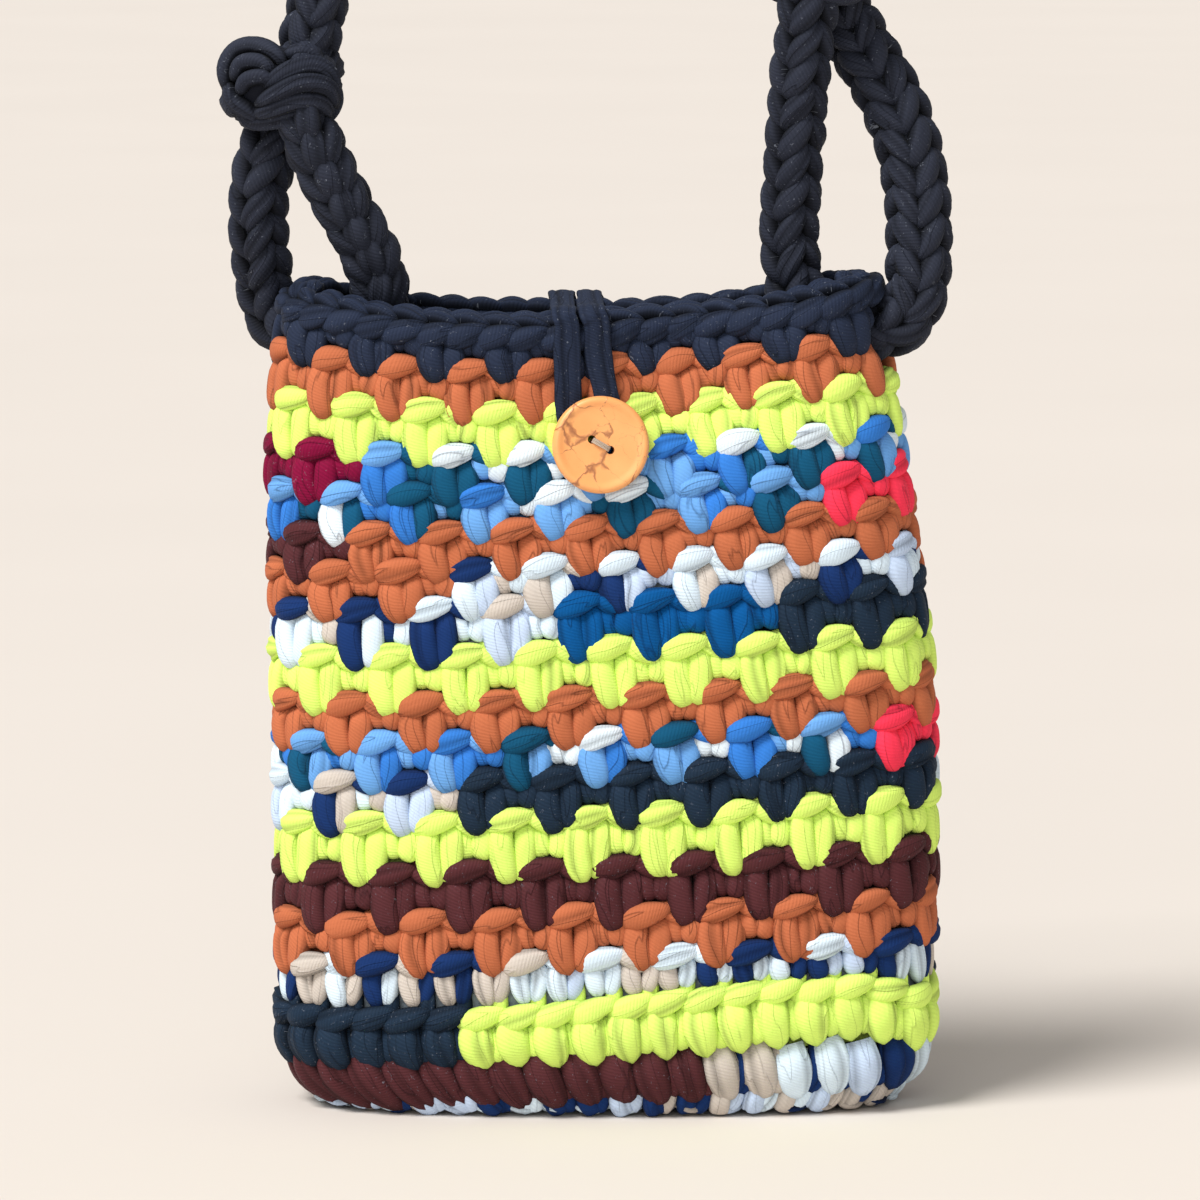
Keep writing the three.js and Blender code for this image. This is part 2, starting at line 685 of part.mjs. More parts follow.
const threadRoom = thread(gap);
const eyeletRounds = 4;
runs.forEach((colours, round) => {
  for (const [colour, from, to] of colours) {
    const whole = from === undefined;
    const start = whole ? seam : from + gap / 2 / unitLength;
    const end = whole ? seam + stitchPairs : to - gap / 2 / unitLength;
    const make = round === rounds ? footRound : (...rest) => yarnRun(round, ...rest);
    let geometry = make(start, end, whole);
    if (round < eyeletRounds) geometry = cut(geometry, strapRoom);
    if (Math.abs(leafHeights[round] - buttonHeight) < 2 * threadDepth + wall) geometry = cut(geometry, [threadRoom]);
    add(`round_${String(round + 1).padStart(2, '0')}_${colour}`, geometry, colour);
  }
});
add('floor_white', floorPlate(), 'white');
add('strap_left_loop', cut(tube(leftLoop, strapRadius, loopSteps), [leftKnotRoom]), 'strap');
add('strap_left_knot', knot(leftKnotPlace, 1, 0), 'strap');
add('strap_span', cut(tube(span, strapRadius, spanSteps), [leftKnotRoom, rightKnotRoom]), 'strap');
add('strap_right_knot', knot(rightKnotPlace, -1, 0), 'strap');
add('strap_right_loop', cut(tube(rightLoop, strapRadius, loopSteps), [rightKnotRoom]), 'strap');
add('closure_loop', closureLoop(), 'navy');
add('button', button(), 'wood');
add('button_thread', thread(0), 'thread');

export default bag;
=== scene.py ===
"""Crocheted shoulder bag in thick jersey yarn, with a corded strap, a closure loop and a wooden button.

Metres, +Z up, front towards -Y. Lengths in the tables below are millimetres, and MM turns them into metres.
"""
import math
import random

import bmesh
import bpy
import numpy as np
from mathutils import Matrix, Vector


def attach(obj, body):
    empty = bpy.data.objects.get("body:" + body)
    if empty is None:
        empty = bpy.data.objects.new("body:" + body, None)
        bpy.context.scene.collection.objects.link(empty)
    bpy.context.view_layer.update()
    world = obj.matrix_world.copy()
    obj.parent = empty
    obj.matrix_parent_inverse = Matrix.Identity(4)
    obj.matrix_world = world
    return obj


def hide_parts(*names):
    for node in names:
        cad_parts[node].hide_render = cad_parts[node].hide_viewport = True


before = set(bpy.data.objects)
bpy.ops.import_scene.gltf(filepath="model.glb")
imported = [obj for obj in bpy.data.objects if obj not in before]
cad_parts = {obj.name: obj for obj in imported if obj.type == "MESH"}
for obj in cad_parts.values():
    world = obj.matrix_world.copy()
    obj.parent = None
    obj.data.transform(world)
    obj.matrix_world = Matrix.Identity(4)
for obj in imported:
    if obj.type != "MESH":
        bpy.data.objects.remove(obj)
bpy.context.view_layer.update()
MM = 0.001

# The view: from the front, a little above, with so many pixels to the millimetre at the bag.
PIXELS_PER_MM = 3.0
PICTURE_PIXELS = 1200.0
SENSOR_WIDTH = 36.0
CAMERA_DISTANCE = 2200.0
CAMERA_ELEVATION = math.radians(8.25)
CAMERA_TARGET = (-2.0, -33.0, 177.3)


def unit(v):
    """v, or each of its rows, at length 1."""
    return v / (np.linalg.norm(v, axis=-1, keepdims=True) + 1e-9)


def smooth(v, low, high):
    t = np.clip((v - low) / (high - low), 0, 1)
    return t * t * (3 - 2 * t)


def bend(v, power):
    """v to a power, keeping its sign: makes a circle squarer or slimmer."""
    return np.sign(v) * np.abs(v) ** power


def distances(points):
    """Distance along a line of points, from the first to each of them."""
    return np.concatenate([[0.0], np.cumsum(np.linalg.norm(np.diff(points, axis=0), axis=1))])


def add_object(name, data):
    thing = bpy.data.objects.new(name, data)
    bpy.context.collection.objects.link(thing)
    return thing


def make_camera():
    data = bpy.data.cameras.new("camera")
    data.sensor_width = SENSOR_WIDTH
    data.lens = SENSOR_WIDTH * PIXELS_PER_MM * CAMERA_DISTANCE / PICTURE_PIXELS
    data.clip_start, data.clip_end = 0.05, 50.0
    camera = add_object("camera", data)
    away = Vector((0.0, -math.cos(CAMERA_ELEVATION), math.sin(CAMERA_ELEVATION)))
    camera.location = (Vector(CAMERA_TARGET) + away * CAMERA_DISTANCE) * MM
    camera.rotation_euler = (-away).to_track_quat("-Z", "Y").to_euler()
    bpy.context.scene.camera = camera


make_camera()

# The bag's outer surface: an oval that narrows to the rim, curves in at the floor and is pinched at the right.
HALF_WIDTH, HALF_DEPTH = 110.0, 33.0
RIM_NARROWING, BELLY_HEIGHT, RIM_SHIFT = 10.5, 110.0, 8.0
OVAL_POWER, WALL = 2.8, 11.0
EDGE_RISE, END_INSET, FRONT_INSET = 34.0, 24.0, 9.0
PINCH_SHARE, PINCH_PLACE, PINCH_REACH, PINCH_START = 0.45, 32.0, 32.0, 200.0
RIDGE_HEIGHT = 39.5
ROUND_RISES = (16.3, 14.7, 16.5, 17, 14.3, 13.2, 13.2, 16, 16, 12.8, 12.9, 11.9, 12.7, 14, 13.5, 11)
PAIRS = 20
FIRST_PLACE, LEAN = -1.05, 0.4
TILT, RIM_DIP, RIM_DIP_ROUNDS, RIM_CREST = 0.042, 10.0, 5, 6.8
EYELET_REACH = 17.0
EYELET_PULL = (2.0, -5.0, -3.0, -1.5)
EYELETS = ((-104.0, 13.0), (92.0, -3.0))
UNIT = 25.4  # width of a pair of stitches
POST_FOOT = 20.0
FRONT_DROP = 7.0

LEAF_HEIGHTS = [RIDGE_HEIGHT]
for rise in ROUND_RISES:
    LEAF_HEIGHTS.insert(0, LEAF_HEIGHTS[0] + rise)
RIM_HEIGHT = LEAF_HEIGHTS[0] + RIM_CREST
LAST = len(LEAF_HEIGHTS) - 1


def oval(angle):
    return bend(np.sin(angle), 2.0 / OVAL_POWER), -bend(np.cos(angle), 2.0 / OVAL_POWER)


ANGLES = np.linspace(0, 2 * math.pi, 721)
SHARES = distances(np.stack(oval(ANGLES), 1) * (HALF_WIDTH, HALF_DEPTH))
SHARES /= SHARES[-1]


def outline(u, z):
    """The bag's outside at u pairs of stitches from the front middle, at height z: x and y."""
    share = np.asarray(u, float) / PAIRS
    angle = np.interp(share - np.floor(share), SHARES, ANGLES)
    z = np.asarray(z, float)
    above = np.maximum(0, z - BELLY_HEIGHT) / (RIM_HEIGHT - BELLY_HEIGHT)
    below = np.clip((EDGE_RISE - z) / EDGE_RISE, 0, 1)
    inset = 1 - np.sqrt(1 - below * below)
    across, along = oval(angle)
    x = (HALF_WIDTH - RIM_NARROWING * above * above - END_INSET * inset) * across
    pinch = PINCH_SHARE * smooth(z, PINCH_START, RIM_HEIGHT) * np.exp(-(((x - PINCH_PLACE) / PINCH_REACH) ** 2))
    shift = -RIM_SHIFT * smooth(z, BELLY_HEIGHT, RIM_HEIGHT)
    return x + shift, (HALF_DEPTH - FRONT_INSET * inset) * along * (1 - pinch)


def wall_normal(u, z):
    z = np.asarray(z)
    high, low = z + 1.0, np.maximum(z - 1.0, 0.0)
    along_x, along_y = np.subtract(outline(u + 0.03, z), outline(u - 0.03, z))
    up_x, up_y = np.subtract(outline(u, high), outline(u, low))
    up = np.stack([up_x, up_y, np.maximum(high - low, 0.5) + 0 * up_x], -1)
    return unit(np.cross(np.stack([along_x, along_y, 0 * along_x], -1), up))


def wall(u, z, out):
    """Points on the wall, out millimetres proud of it, and the wall's normals there."""
    x, y = outline(u, z)
    base = np.stack([x, y, np.asarray(z) + 0 * x], -1)
    normal = wall_normal(u, z)
    return base + normal * np.asarray(out)[..., None], normal


def front_bow(x, y, start, rise, rise_span, drop_span):
    """On the front, a line's rise towards the right and its drop near the right edge."""
    return np.where(y < 0, start + rise * smooth(x, *rise_span) - FRONT_DROP * smooth(x, *drop_span), 0)


def leaf_height(index, u):
    """Height of a round's chain of leaves. Rounds rise to the right, and sag in the middle near the rim."""
    height = LEAF_HEIGHTS[min(index, LAST)]
    x, y = outline(u, height)
    dip = RIM_DIP * max(0.0, 1 - index / RIM_DIP_ROUNDS) * (x / 100) ** 2
    pull = 0.0
    if index < len(EYELET_PULL):
        for ex, ey in EYELETS:
            away = np.hypot(x - ex, y - ey) / EYELET_REACH
            pull = pull + EYELET_PULL[index] * np.exp(-away * away)
    if index == LAST:
        pull = pull + front_bow(x, y, -2.5, 4.8, (-40, 65), (84, 108))
    return height + TILT * x + dip + pull


def next_height(index, u):
    """Height of the leaves below a round."""
    if index < LAST:
        return leaf_height(index + 1, u)
    x, y = outline(u, POST_FOOT)
    return POST_FOOT + TILT * x + front_bow(x, y, 0.0, 3.0, (0, 75), (86, 106))


def lin(r, g, b):
    """Display colour, 0 to 255, to the linear colour that shaders use."""
    return tuple(c / 255 / 12.92 if c / 255 <= 0.04045 else ((c / 255 + 0.055) / 1.055) ** 2.4 for c in (r, g, b))


# Display colours of each yarn's tints, with how often each comes in a mixed yarn.
TINTS = {
    "navy": ((38, 47, 68, 1),),
    "strap": ((44, 48, 61, 1),),
    "terracotta": ((192, 108, 72, 1),),
    "lime": ((224, 255, 120, 1),),
    "burgundy": ((126, 8, 55, 1),),
    "blue": ((108, 166, 230, 3), (52, 122, 208, 3), (14, 84, 120, 3), (226, 240, 250, 2)),
    "coral": ((255, 60, 88, 1),),
    "brown": ((84, 42, 46, 1),),
    "white": ((220, 238, 252, 4), (20, 50, 104, 2), (204, 194, 184, 2), (196, 214, 240, 1)),
    "petrol": ((0, 82, 146, 1),),
    "charcoal": ((29, 46, 65, 1),),
}
YARNS = {name: [(lin(*tint), weight) for *tint, weight in tints] for name, tints in TINTS.items()}
DARK_YARNS = ("navy", "strap", "brown", "charcoal", "burgundy")
BRIGHT_YARNS = ("lime", "white")


class Dye:
    """Colours of a yarn, lobe by lobe along it. A mixed yarn changes every few lobes."""

    def __init__(self, name, seed):
        self.colours = YARNS[name]
        self.rng = random.Random(seed)
        self.left = 0
        self.now = self.colours[0][0]

    def next(self):
        if self.left <= 0:
            options = [c for c in self.colours if c[0] != self.now] or self.colours
            total = sum(weight for _, weight in options)
            pick = self.rng.random() * total
            for colour, weight in options:
                pick -= weight
                if pick <= 0:
                    break
            self.now = colour
            self.left = self.rng.choice((1, 1, 2, 2, 3)) if len(self.colours) > 1 else 10**6
        self.left -= 1
        value = 1 + self.rng.uniform(-0.05, 0.05)
        return tuple(c * value for c in self.now)


def lay(across, along, seed):
    """Millimetres across and along the yarn, and a seed, at each point of a grid."""
    return np.stack(np.broadcast_arrays(across, along, seed), -1)


class Skein:
    """Gathers many small surfaces into one mesh of a yarn, with a colour and a lay at each point."""

    def __init__(self, yarn="navy", seed=0, dye_seed=0):
        self.yarn, self.rng, self.dye_and_shade = yarn, random.Random(seed), Dye(yarn, dye_seed)
        self.points, self.faces, self.colours, self.lays = [], [], [], []
        self.count = 0

    def grid(self, points, colours, lays, closed=False):
        n, m = points.shape[:2]
        index = np.arange(n * m).reshape(n, m) + self.count
        if closed:
            index = np.concatenate([index, index[:, :1]], 1)
        quads = np.stack([index[:-1, :-1], index[:-1, 1:], index[1:, 1:], index[1:, :-1]], -1)
        self.faces.append(quads.reshape(-1, 4))
        for store, values in ((self.points, points), (self.colours, colours), (self.lays, lays)):
            store.append(np.broadcast_to(values, points.shape).reshape(-1, 3))
        self.count += n * m

    def tint(self, share):
        """The yarn's first tint, darkened to a share as painted shade."""
        return np.array(YARNS[self.yarn][0][0]) * share

    def build(self, name, material=None):
        points = np.concatenate(self.points) * MM
        points[:, 2] = np.maximum(points[:, 2], 0.05 * MM)  # soft yarn lies flat on the floor
        quads = np.concatenate(self.faces)
        mesh = bpy.data.meshes.new(name)
        mesh.vertices.add(len(points))
        mesh.vertices.foreach_set("co", points.astype(np.float32).ravel())
        mesh.loops.add(quads.size)
        mesh.loops.foreach_set("vertex_index", quads.astype(np.int32).ravel())
        mesh.polygons.add(len(quads))
        mesh.polygons.foreach_set("loop_start", np.arange(0, quads.size, 4, dtype=np.int32))
        mesh.update(calc_edges=True)
        mesh.shade_smooth()
        # Colour at each point: the yarn's dye times the painted shade of lobe sides, ends and creases, cloth, cores,
        # strips and sheets.
        rgba = np.ones((len(points), 4), np.float32)
        rgba[:, :3] = np.concatenate(self.colours)
        mesh.color_attributes.new("dye_and_shade", "FLOAT_COLOR", "POINT").data.foreach_set("color", rgba.ravel())
        lays = np.concatenate(self.lays).astype(np.float32)
        mesh.attributes.new("lay", "FLOAT_VECTOR", "POINT").data.foreach_set("vector", lays.ravel())
        mesh.materials.append(material or MATERIALS[self.yarn])
        return add_object(name, mesh)


def leaf_profile(t, start, end):
    """Share of the full width along a leaf, which thins to both ends."""
    top = start / (start + end)
    return t**start * (1 - t) ** end / (top**start * (1 - top) ** end)


def closing(t, tip):
    """1 as far as tip, then round to nothing at the end."""
    return np.clip(1 - (np.maximum(t - tip, 0) / (1 - tip)) ** 2, 0, 1)


def spline(points, count):
    """Smooth line through a few control rows, as count rows."""
    points = np.asarray(points, float)
    padded = np.concatenate([[2 * points[0] - points[1]], points, [2 * points[-1] - points[-2]]])
    t = np.linspace(0, len(points) - 1, count)
    i = np.minimum(t.astype(int), len(points) - 2)
    f = (t - i)[:, None]
    p0, p1, p2, p3 = (padded[i + k] for k in range(4))
    return 0.5 * (2 * p1 + (p2 - p0) * f + (2 * p0 - 5 * p1 + 4 * p2 - p3) * f**2
                  + (3 * p1 - p0 - 3 * p2 + p3) * f**3)


def sweep(line, side, up, x, y):
    """Grid of points about a line, x millimetres to its side and y up."""
    return line[:, None, :] + side[:, None, :] * x[..., None] + up[:, None, :] * y[..., None]


TUCK = 28  # degrees that a lobe's sides turn under
# The darker a yarn, the deeper the shade between its lobes: brightest channel, shade at the sides, and the share
# of the lobe's height where the shade ends.
SHADES = ((0.2, 0.14, 1.12), (0.8, 0.42, 0.95), (math.inf, 0.56, 0.85))


def lobe(skein, place, path, width, thick, profile="leaf", creases=None, stations=12, across=13, ends=(0.5, 0.75),
         neck=0.55, tip=0.82, flat=0.8):
    """A plump fold of yarn along path, rows of (a, b, out) that place turns into points and normals."""
    rng, colour = skein.rng, skein.dye_and_shade.next()
    centre, normal = place(*spline(path, stations).T)
    tangent = unit(np.gradient(centre, axis=0))
    side = unit(np.cross(tangent, normal))
    t = np.linspace(0, 1, stations)
    if profile == "leaf":
        inner = np.clip(t, 0.012, 0.988)
        w = leaf_profile(inner, *ends)
        h = leaf_profile(inner, *(0.45 * end + 0.15 for end in ends))
    else:
        w = (neck + (1 - neck) * smooth(t, 0.0, 0.45)) * (0.12 + 0.88 * closing(t, tip) ** 0.62)
        h = (0.55 + 0.45 * smooth(t, 0.0, 0.35)) * (0.25 + 0.75 * closing(t, tip) ** 0.5)
    theta = np.radians(np.linspace(-TUCK, 180 + TUCK, across))
    x, y = bend(np.cos(theta), flat), bend(np.sin(theta), 0.9)
    if creases is None:
        creases = rng.choice((0, 1, 1, 2))
    wander = rng.uniform(-0.16, 0.16) * np.sin(math.pi * (t + rng.uniform(-0.3, 0.3))) + rng.uniform(-0.1, 0.1)
    xs = x + wander[:, None] * (1 - x**2)
    ys = np.repeat(y[None, :], stations, 0)
    shade = np.ones_like(ys)
    options = list(range(3, across - 3))
    rng.shuffle(options)
    taken = []
    for k in options:
        if len(taken) < creases and all(abs(k - other) > 1 for other in taken):
            taken.append(k)
    for k in taken:
        reach = smooth(t, 0.0, 0.25) if rng.random() < 0.5 else 1 - smooth(t, 0.72, 1.0)
        depth = rng.uniform(0.18, 0.28) * reach
        ys[:, k] -= depth
        ys[:, k + 1] -= depth * 0.15
        shade[:, k] *= 1 - 0.38 * reach
    ys *= 1 + 0.05 * np.sin(theta * rng.uniform(2.0, 3.4) + rng.uniform(0, 6))
    points = sweep(centre, side, np.cross(side, tangent), xs * (w * width / 2)[:, None], ys * (h * thick)[:, None])
    deep, crown = next(row[1:] for row in SHADES if max(colour) < row[0])
    shade *= deep + (1 - deep) * smooth(y, -0.15, crown)
    shade *= (deep + 0.15 + (0.85 - deep) * smooth(np.minimum(t, 1 - t), 0.0, 0.16))[:, None]
    lays = lay(xs * width / 2, distances(centre)[:, None], rng.uniform(0, 50))
    skein.grid(points, np.array(colour) * shade[..., None], lays)


# Routes of the strap's two loops and of the span between its knots.
LEFT_LOOP = (
    (-108.5, 7.5, 342), (-112, 7.5, 328), (-116, 8, 314), (-117, 10, 299), (-116, 14, 285), (-114.5, 17, 274),
    (-111, 17, 265.5), (-104, 14, 262.5), (-95, 10, 261.5), (-86, 6, 261.5), (-78.5, 3, 266), (-75.8, 1, 275),
    (-78, -1.5, 287), (-84, -4, 300), (-91.5, -6.5, 314), (-97.5, -8.5, 328), (-101, -9, 342),
)
SPAN = (
    (-103, 0, 348), (-98, 0, 366), (-93, 0, 386), (-82, 0, 408), (-60, 0, 428), (-30, 0, 440), (0, 0, 443),
    (30, 0, 438), (54, 0, 424), (66, 0, 408), (72, 0, 389),
)
RIGHT_LOOP = (
    (74, 8, 388), (77.5, 9.5, 374), (84, 11, 361), (93, 8, 347), (100, 4, 331), (104, 1, 313), (105, -1, 296),
    (104.5, -3, 280), (101, -4, 269.5), (93, -4, 265), (84, -3, 263.5), (75, -1.5, 265), (66.5, 0, 270),
    (63.5, 0, 280), (61.5, 0, 296), (62.5, -1, 314), (63.5, -3.5, 333), (65, -6, 352), (67, -8, 371),
    (68.5, -9.5, 388),
)
STRAP_RADIUS = 8.5
LEFT_KNOT, RIGHT_KNOT = (-108.5, 0.0, 347.5), (71.0, 0.0, 389.0)


def evenly(points, step):
    """A smooth line through points, at equal steps along it."""
    fine = spline(points, 40 * len(points))
    length = distances(fine)
    count = max(2, int(round(length[-1] / step)))
    at = np.linspace(0, length[-1], count + 1)
    return np.stack([np.interp(at, length, fine[:, k]) for k in range(3)], 1)


LOOP_LINES = np.concatenate([evenly(LEFT_LOOP, 2.0), evenly(RIGHT_LOOP, 2.0)])


class Value:
    """An output of a material's nodes. Sums and products of values add the nodes that reckon them."""

    def __init__(self, looks, socket):
        self.looks, self.socket = looks, socket

    def reckon(self, operation, one, other=None):
        return self.looks.node("Math", {0: one, 1: other}, operation=operation)

    def __rsub__(self, other):
        return self.reckon("SUBTRACT", other, self)

    def clamped(self):
        """The same value, kept from 0 to 1."""
        self.socket.node.use_clamp = True
        return self

    def past(self, start, gain):
        """0 up to start, then rising by gain as far as 1."""
        return ((self - start) * gain).clamped()

    def crossing(self, gain):
        """1 along thin lines where a noise crosses its middle."""
        return (1.0 - abs(self - 0.5) * gain).clamped()


for method, operation in (("__add__", "ADD"), ("__sub__", "SUBTRACT"), ("__mul__", "MULTIPLY"), ("__pow__", "POWER"),
                          ("__truediv__", "DIVIDE"), ("__abs__", "ABSOLUTE"), ("sine", "SINE")):
    setattr(Value, method, lambda self, *other, kind=operation: self.reckon(kind, self, *other))


class Looks:
    """A material, built node by node."""

    def __init__(self, name):
        self.material = bpy.data.materials.new(name)
        self.material.use_nodes = True
        self.tree = self.material.node_tree

    def fill(self, node, inputs):
        """Fills a node's inputs with numbers, colours or values. None leaves an input as it is."""
        for key, value in inputs.items():
            socket = node.inputs[key]
            if isinstance(value, Value):
                self.tree.links.new(value.socket, socket)
            elif isinstance(value, tuple):
                socket.default_value = (*value, 1.0)[:len(socket.default_value)]
            elif value is not None:
                socket.default_value = value

    def node(self, kind, inputs, output=0, **settings):
        node = self.tree.nodes.new("ShaderNode" + kind)
        for key, value in settings.items():
            setattr(node, key, value)
        self.fill(node, inputs)
        return Value(self, node.outputs[output])

    def noise(self, vector, scale, detail=2.0, rough=0.5, output="Fac"):
        return self.node("TexNoise", {"Vector": vector, "Scale": scale, "Detail": detail, "Roughness": rough},
                         output)

    def combine(self, x, y, z):
        return self.node("CombineXYZ", {0: x, 1: y, 2: z})

    def mix(self, factor, a, b, blend="MIX"):
        return self.node("Mix", {0: factor, 6: a, 7: b}, 2, data_type="RGBA", blend_type=blend)

    def toned(self, colour, tone):
        return self.mix(1.0, colour, self.combine(tone, tone, tone), "MULTIPLY")

    def bump(self, height, strength, distance, normal=None):
        return self.node("Bump", {"Strength": strength, "Distance": distance, "Height": height, "Normal": normal})

    def yarn(self):
        """The colour at each point, the yarn's dye times painted shade, and its lay: millimetres across, millimetres
        along, seed.
        """
        dye_and_shade = self.node("Attribute", {}, "Color", attribute_name="dye_and_shade")
        spread = self.node("Attribute", {}, "Vector", attribute_name="lay")
        split = self.node("SeparateXYZ", {0: spread}).socket.node
        return dye_and_shade, *(Value(self, socket) for socket in split.outputs)

    def done(self, inputs):
        self.fill(self.tree.nodes["Principled BSDF"], inputs)
        return self.material


RIB_PITCH = 1.05
FOLD_SHADE = (0.32, 0.32, 0.36)
LINT_COLOUR = (0.30, 0.33, 0.40)


def jersey(name, dark, fold_dark):
    """Jersey yarn: folds along the lobe, fine ribs across it and soft mottling. Dark yarns carry a little lint."""
    looks = Looks(name)
    dye_and_shade, across, along, seed = looks.yarn()

    def stretched(wide, long, scale, detail, rough):
        return looks.noise(looks.combine(across * wide, along * long, seed), scale, detail, rough)

    line = stretched(0.20, 0.03, 1.0, 1.5, 0.45).crossing(48.0) ** 1.5
    ripple = stretched(0.9, 0.16, 1.0, 3.0, 0.55)
    ribs = ((along + across * 0.45) * (2 * math.pi / RIB_PITCH)).sine()
    grain = stretched(1.0, 1.0, 2.6, 3.0, 0.6)
    mottle = stretched(0.1, 0.1, 1.0, 2.0, 0.5)
    tone = mottle * 0.22 + grain * 0.16 + ribs * (0.09 if dark else 0.03) + 0.81
    colour = looks.toned(dye_and_shade, tone)
    # Painted shade along the fold lines: the colour is darkened towards FOLD_SHADE there.
    colour = looks.mix(line * fold_dark, colour, looks.mix(1.0, colour, FOLD_SHADE, "MULTIPLY"))
    if dark:
        hair = stretched(0.9, 0.5, 1.0, 1.0, 0.5).crossing(42.0)
        patch = stretched(1.0, 1.0, 0.75, 2.0, 0.6).past(0.6, 14.0)
        colour = looks.mix(hair * patch * 0.5, colour, LINT_COLOUR)
    normal = looks.bump(ripple * 0.35 - line * 0.45, 0.55, 0.0012)
    normal = looks.bump(ribs * 0.55 + grain, 0.30, 0.00025, normal)
    return looks.done({"Base Color": colour, "Roughness": 0.7 if dark else 0.86, "Sheen Weight": 0.02,
                       "Sheen Roughness": 0.5, "Specular IOR Level": 0.10 if dark else 0.14, "Normal": normal})


MATERIALS = {yarn: jersey(f"jersey_{yarn}", yarn in DARK_YARNS, 0.15 if yarn in BRIGHT_YARNS else 0.55)
             for yarn in YARNS}

# Rounds of crochet from the rim down: yarns, with where each run starts and ends in pairs of stitches.
BACK = 5.4
RUNS = (
    [("navy",)],
    [("terracotta",)],
    [("lime",)],
    (("blue", -3.44, BACK), ("burgundy", BACK, 16.56)),
    (("coral", 2.96, BACK), ("blue", BACK, 22.96)),
    (("terracotta", -3.64, BACK), ("brown", BACK, 16.36)),
    (("white", -2.24, BACK), ("terracotta", BACK, 17.76)),
    (("petrol", -0.84, 2.16), ("charcoal", 2.16, BACK), ("white", BACK, 19.16)),
    [("lime",)],
    [("terracotta",)],
    (("coral", 3.36, BACK), ("blue", BACK, 23.36)),
    (("charcoal", -2.24, BACK), ("white", BACK, 17.76)),
    [("lime",)],
    [("brown",)],
    [("terracotta",)],
    [("white",)],
    (("lime", -1.64, BACK), ("charcoal", BACK, 18.36)),
    (("white", 1.36, BACK), ("brown", BACK, 21.36)),
)
SEAM = -PAIRS / 2

LOW = -200  # added to a height that is measured from the next round's leaves
STRAP_ROUNDS = 4  # rounds that the strap's loops reach
INNER_ROUNDS = 6  # rounds with stitches on the inside too
RIM_LOOPS, LOOP_ROOM = 44, 7.5
RIM_BAND = 4.0
CORNER_DROP = 4.0  # how much lower the rim's edge lies at its tight right corner
CLOTH_DEPTH = -3.4  # the cloth behind the lobes, from the wall's outside
FOOT_TOP, FOOT_LOW = 23.0, 3.0


def jitter(skein, path, spread):
    gauss = skein.rng.gauss
    du, dz, do = gauss(0, spread), gauss(0, spread), gauss(0, 0.25)
    return [(a + du + gauss(0, spread * 0.4), b + dz + gauss(0, spread * 0.4), c + do) for a, b, c in path]


def to_wall(index, u0, path):
    """Rows of (mm right, mm up from the round's leaves, mm out) to rows of (u, z, out)."""
    u = np.array([u0 + a / UNIT for a, _, _ in path])
    top, low = leaf_height(index, u), next_height(index, u)
    return [(u[k], top[k] + b if b > LOW / 2 else low[k] + b - LOW, out) for k, (_, b, out) in enumerate(path)]


def clear_of_strap(rows):
    points = wall(*spline(rows, 6).T)[0]
    return np.min(np.linalg.norm(points[:, None, :] - LOOP_LINES, axis=2)) > STRAP_RADIUS + 1.2


def putter(skein, index, u0, spread=0.25, vary=0.0):
    """A function that puts a lobe on a round, along a path in millimetres from the stitch at u0."""
    def put(path, width, thick, *shape, **rest):
        rows = to_wall(index, u0, jitter(skein, path, spread))
        if vary:
            if index < STRAP_ROUNDS and not clear_of_strap(rows):
                return
            width *= 1 + skein.rng.uniform(-vary, vary)
        lobe(skein, wall, rows, width, thick, *shape, **rest)
    return put


def put_leaves(put):
    """The small and the big leaf that lie over the top of a pair of stitches."""
    put([(4.6, 3.0, -2.2), (9.6, -0.1, -0.4), (15.0, -4.4, -2.0)], 7.4, 2.8, ends=(0.5, 0.5))
    put([(-9.4, -2.6, -1.3), (-1.4, 0.0, 0.9), (9.0, 2.0, -0.5)], 8.8, 3.3, ends=(0.46, 0.66))


# Drops of an ordinary pair of stitches: path, width, thickness, neck and tip.
DROPS = (
    (((9.2, -1.8, -2.8), (9.4, LOW + 9.0, -1.3), (11.7, LOW + 4.2, -1.6)), 6.8, 2.7, 0.85, 0.66),
    (((15.0, -1.4, -2.6), (15.4, LOW + 8.6, -0.7), (13.9, LOW + 3.9, -1.1)), 8.0, 3.0, 0.8, 0.62),
    (((3.6, -1.0, -3.0), (4.5, -6.4, -0.5), (4.0, LOW + 1.6, -0.2), (2.6, LOW - 4.3, -0.9)), 8.4, 3.2, 0.86, 0.66),
    (((-2.4, -1.0, -2.8), (-3.7, -6.4, -0.2), (-2.7, LOW + 1.6, 0.3), (-0.1, LOW - 4.9, -0.4)),
     9.6, 3.5, 0.8, 0.64),
)


def stitch(skein, index, u0):
    """One pair of stitches of an ordinary round: a long drop and a short one under a big and a small leaf."""
    put = putter(skein, index, u0, 0.28, 0.07)
    creases = skein.rng.choice((0, 0, 1))
    for path, width, thick, neck, tip in DROPS:
        put(path, width, thick, "drop", flat=0.76, creases=creases, neck=neck, tip=tip)
    if index > 0:
        put_leaves(put)


def spiked_stitch(skein, index, u0):
    """A pair of equal stitches, with room between them for spikes of the next round's yarn."""
    for half in (0.0, 0.5):
        put = putter(skein, index, u0 + half)
        for path, width, thick in (
            ([(3.4, -1.0, -2.8), (3.8, -6.0, -1.2), (2.2, LOW + 3.6, -1.2)], 6.4, 2.6),
            ([(-3.0, -1.0, -2.6), (-3.2, -6.0, -0.7), (-0.8, LOW + 3.2, -0.7)], 7.4, 2.8),
        ):
            put(path, width, thick, "drop", neck=0.7, tip=0.66, flat=0.72)
    put_leaves(putter(skein, index, u0))


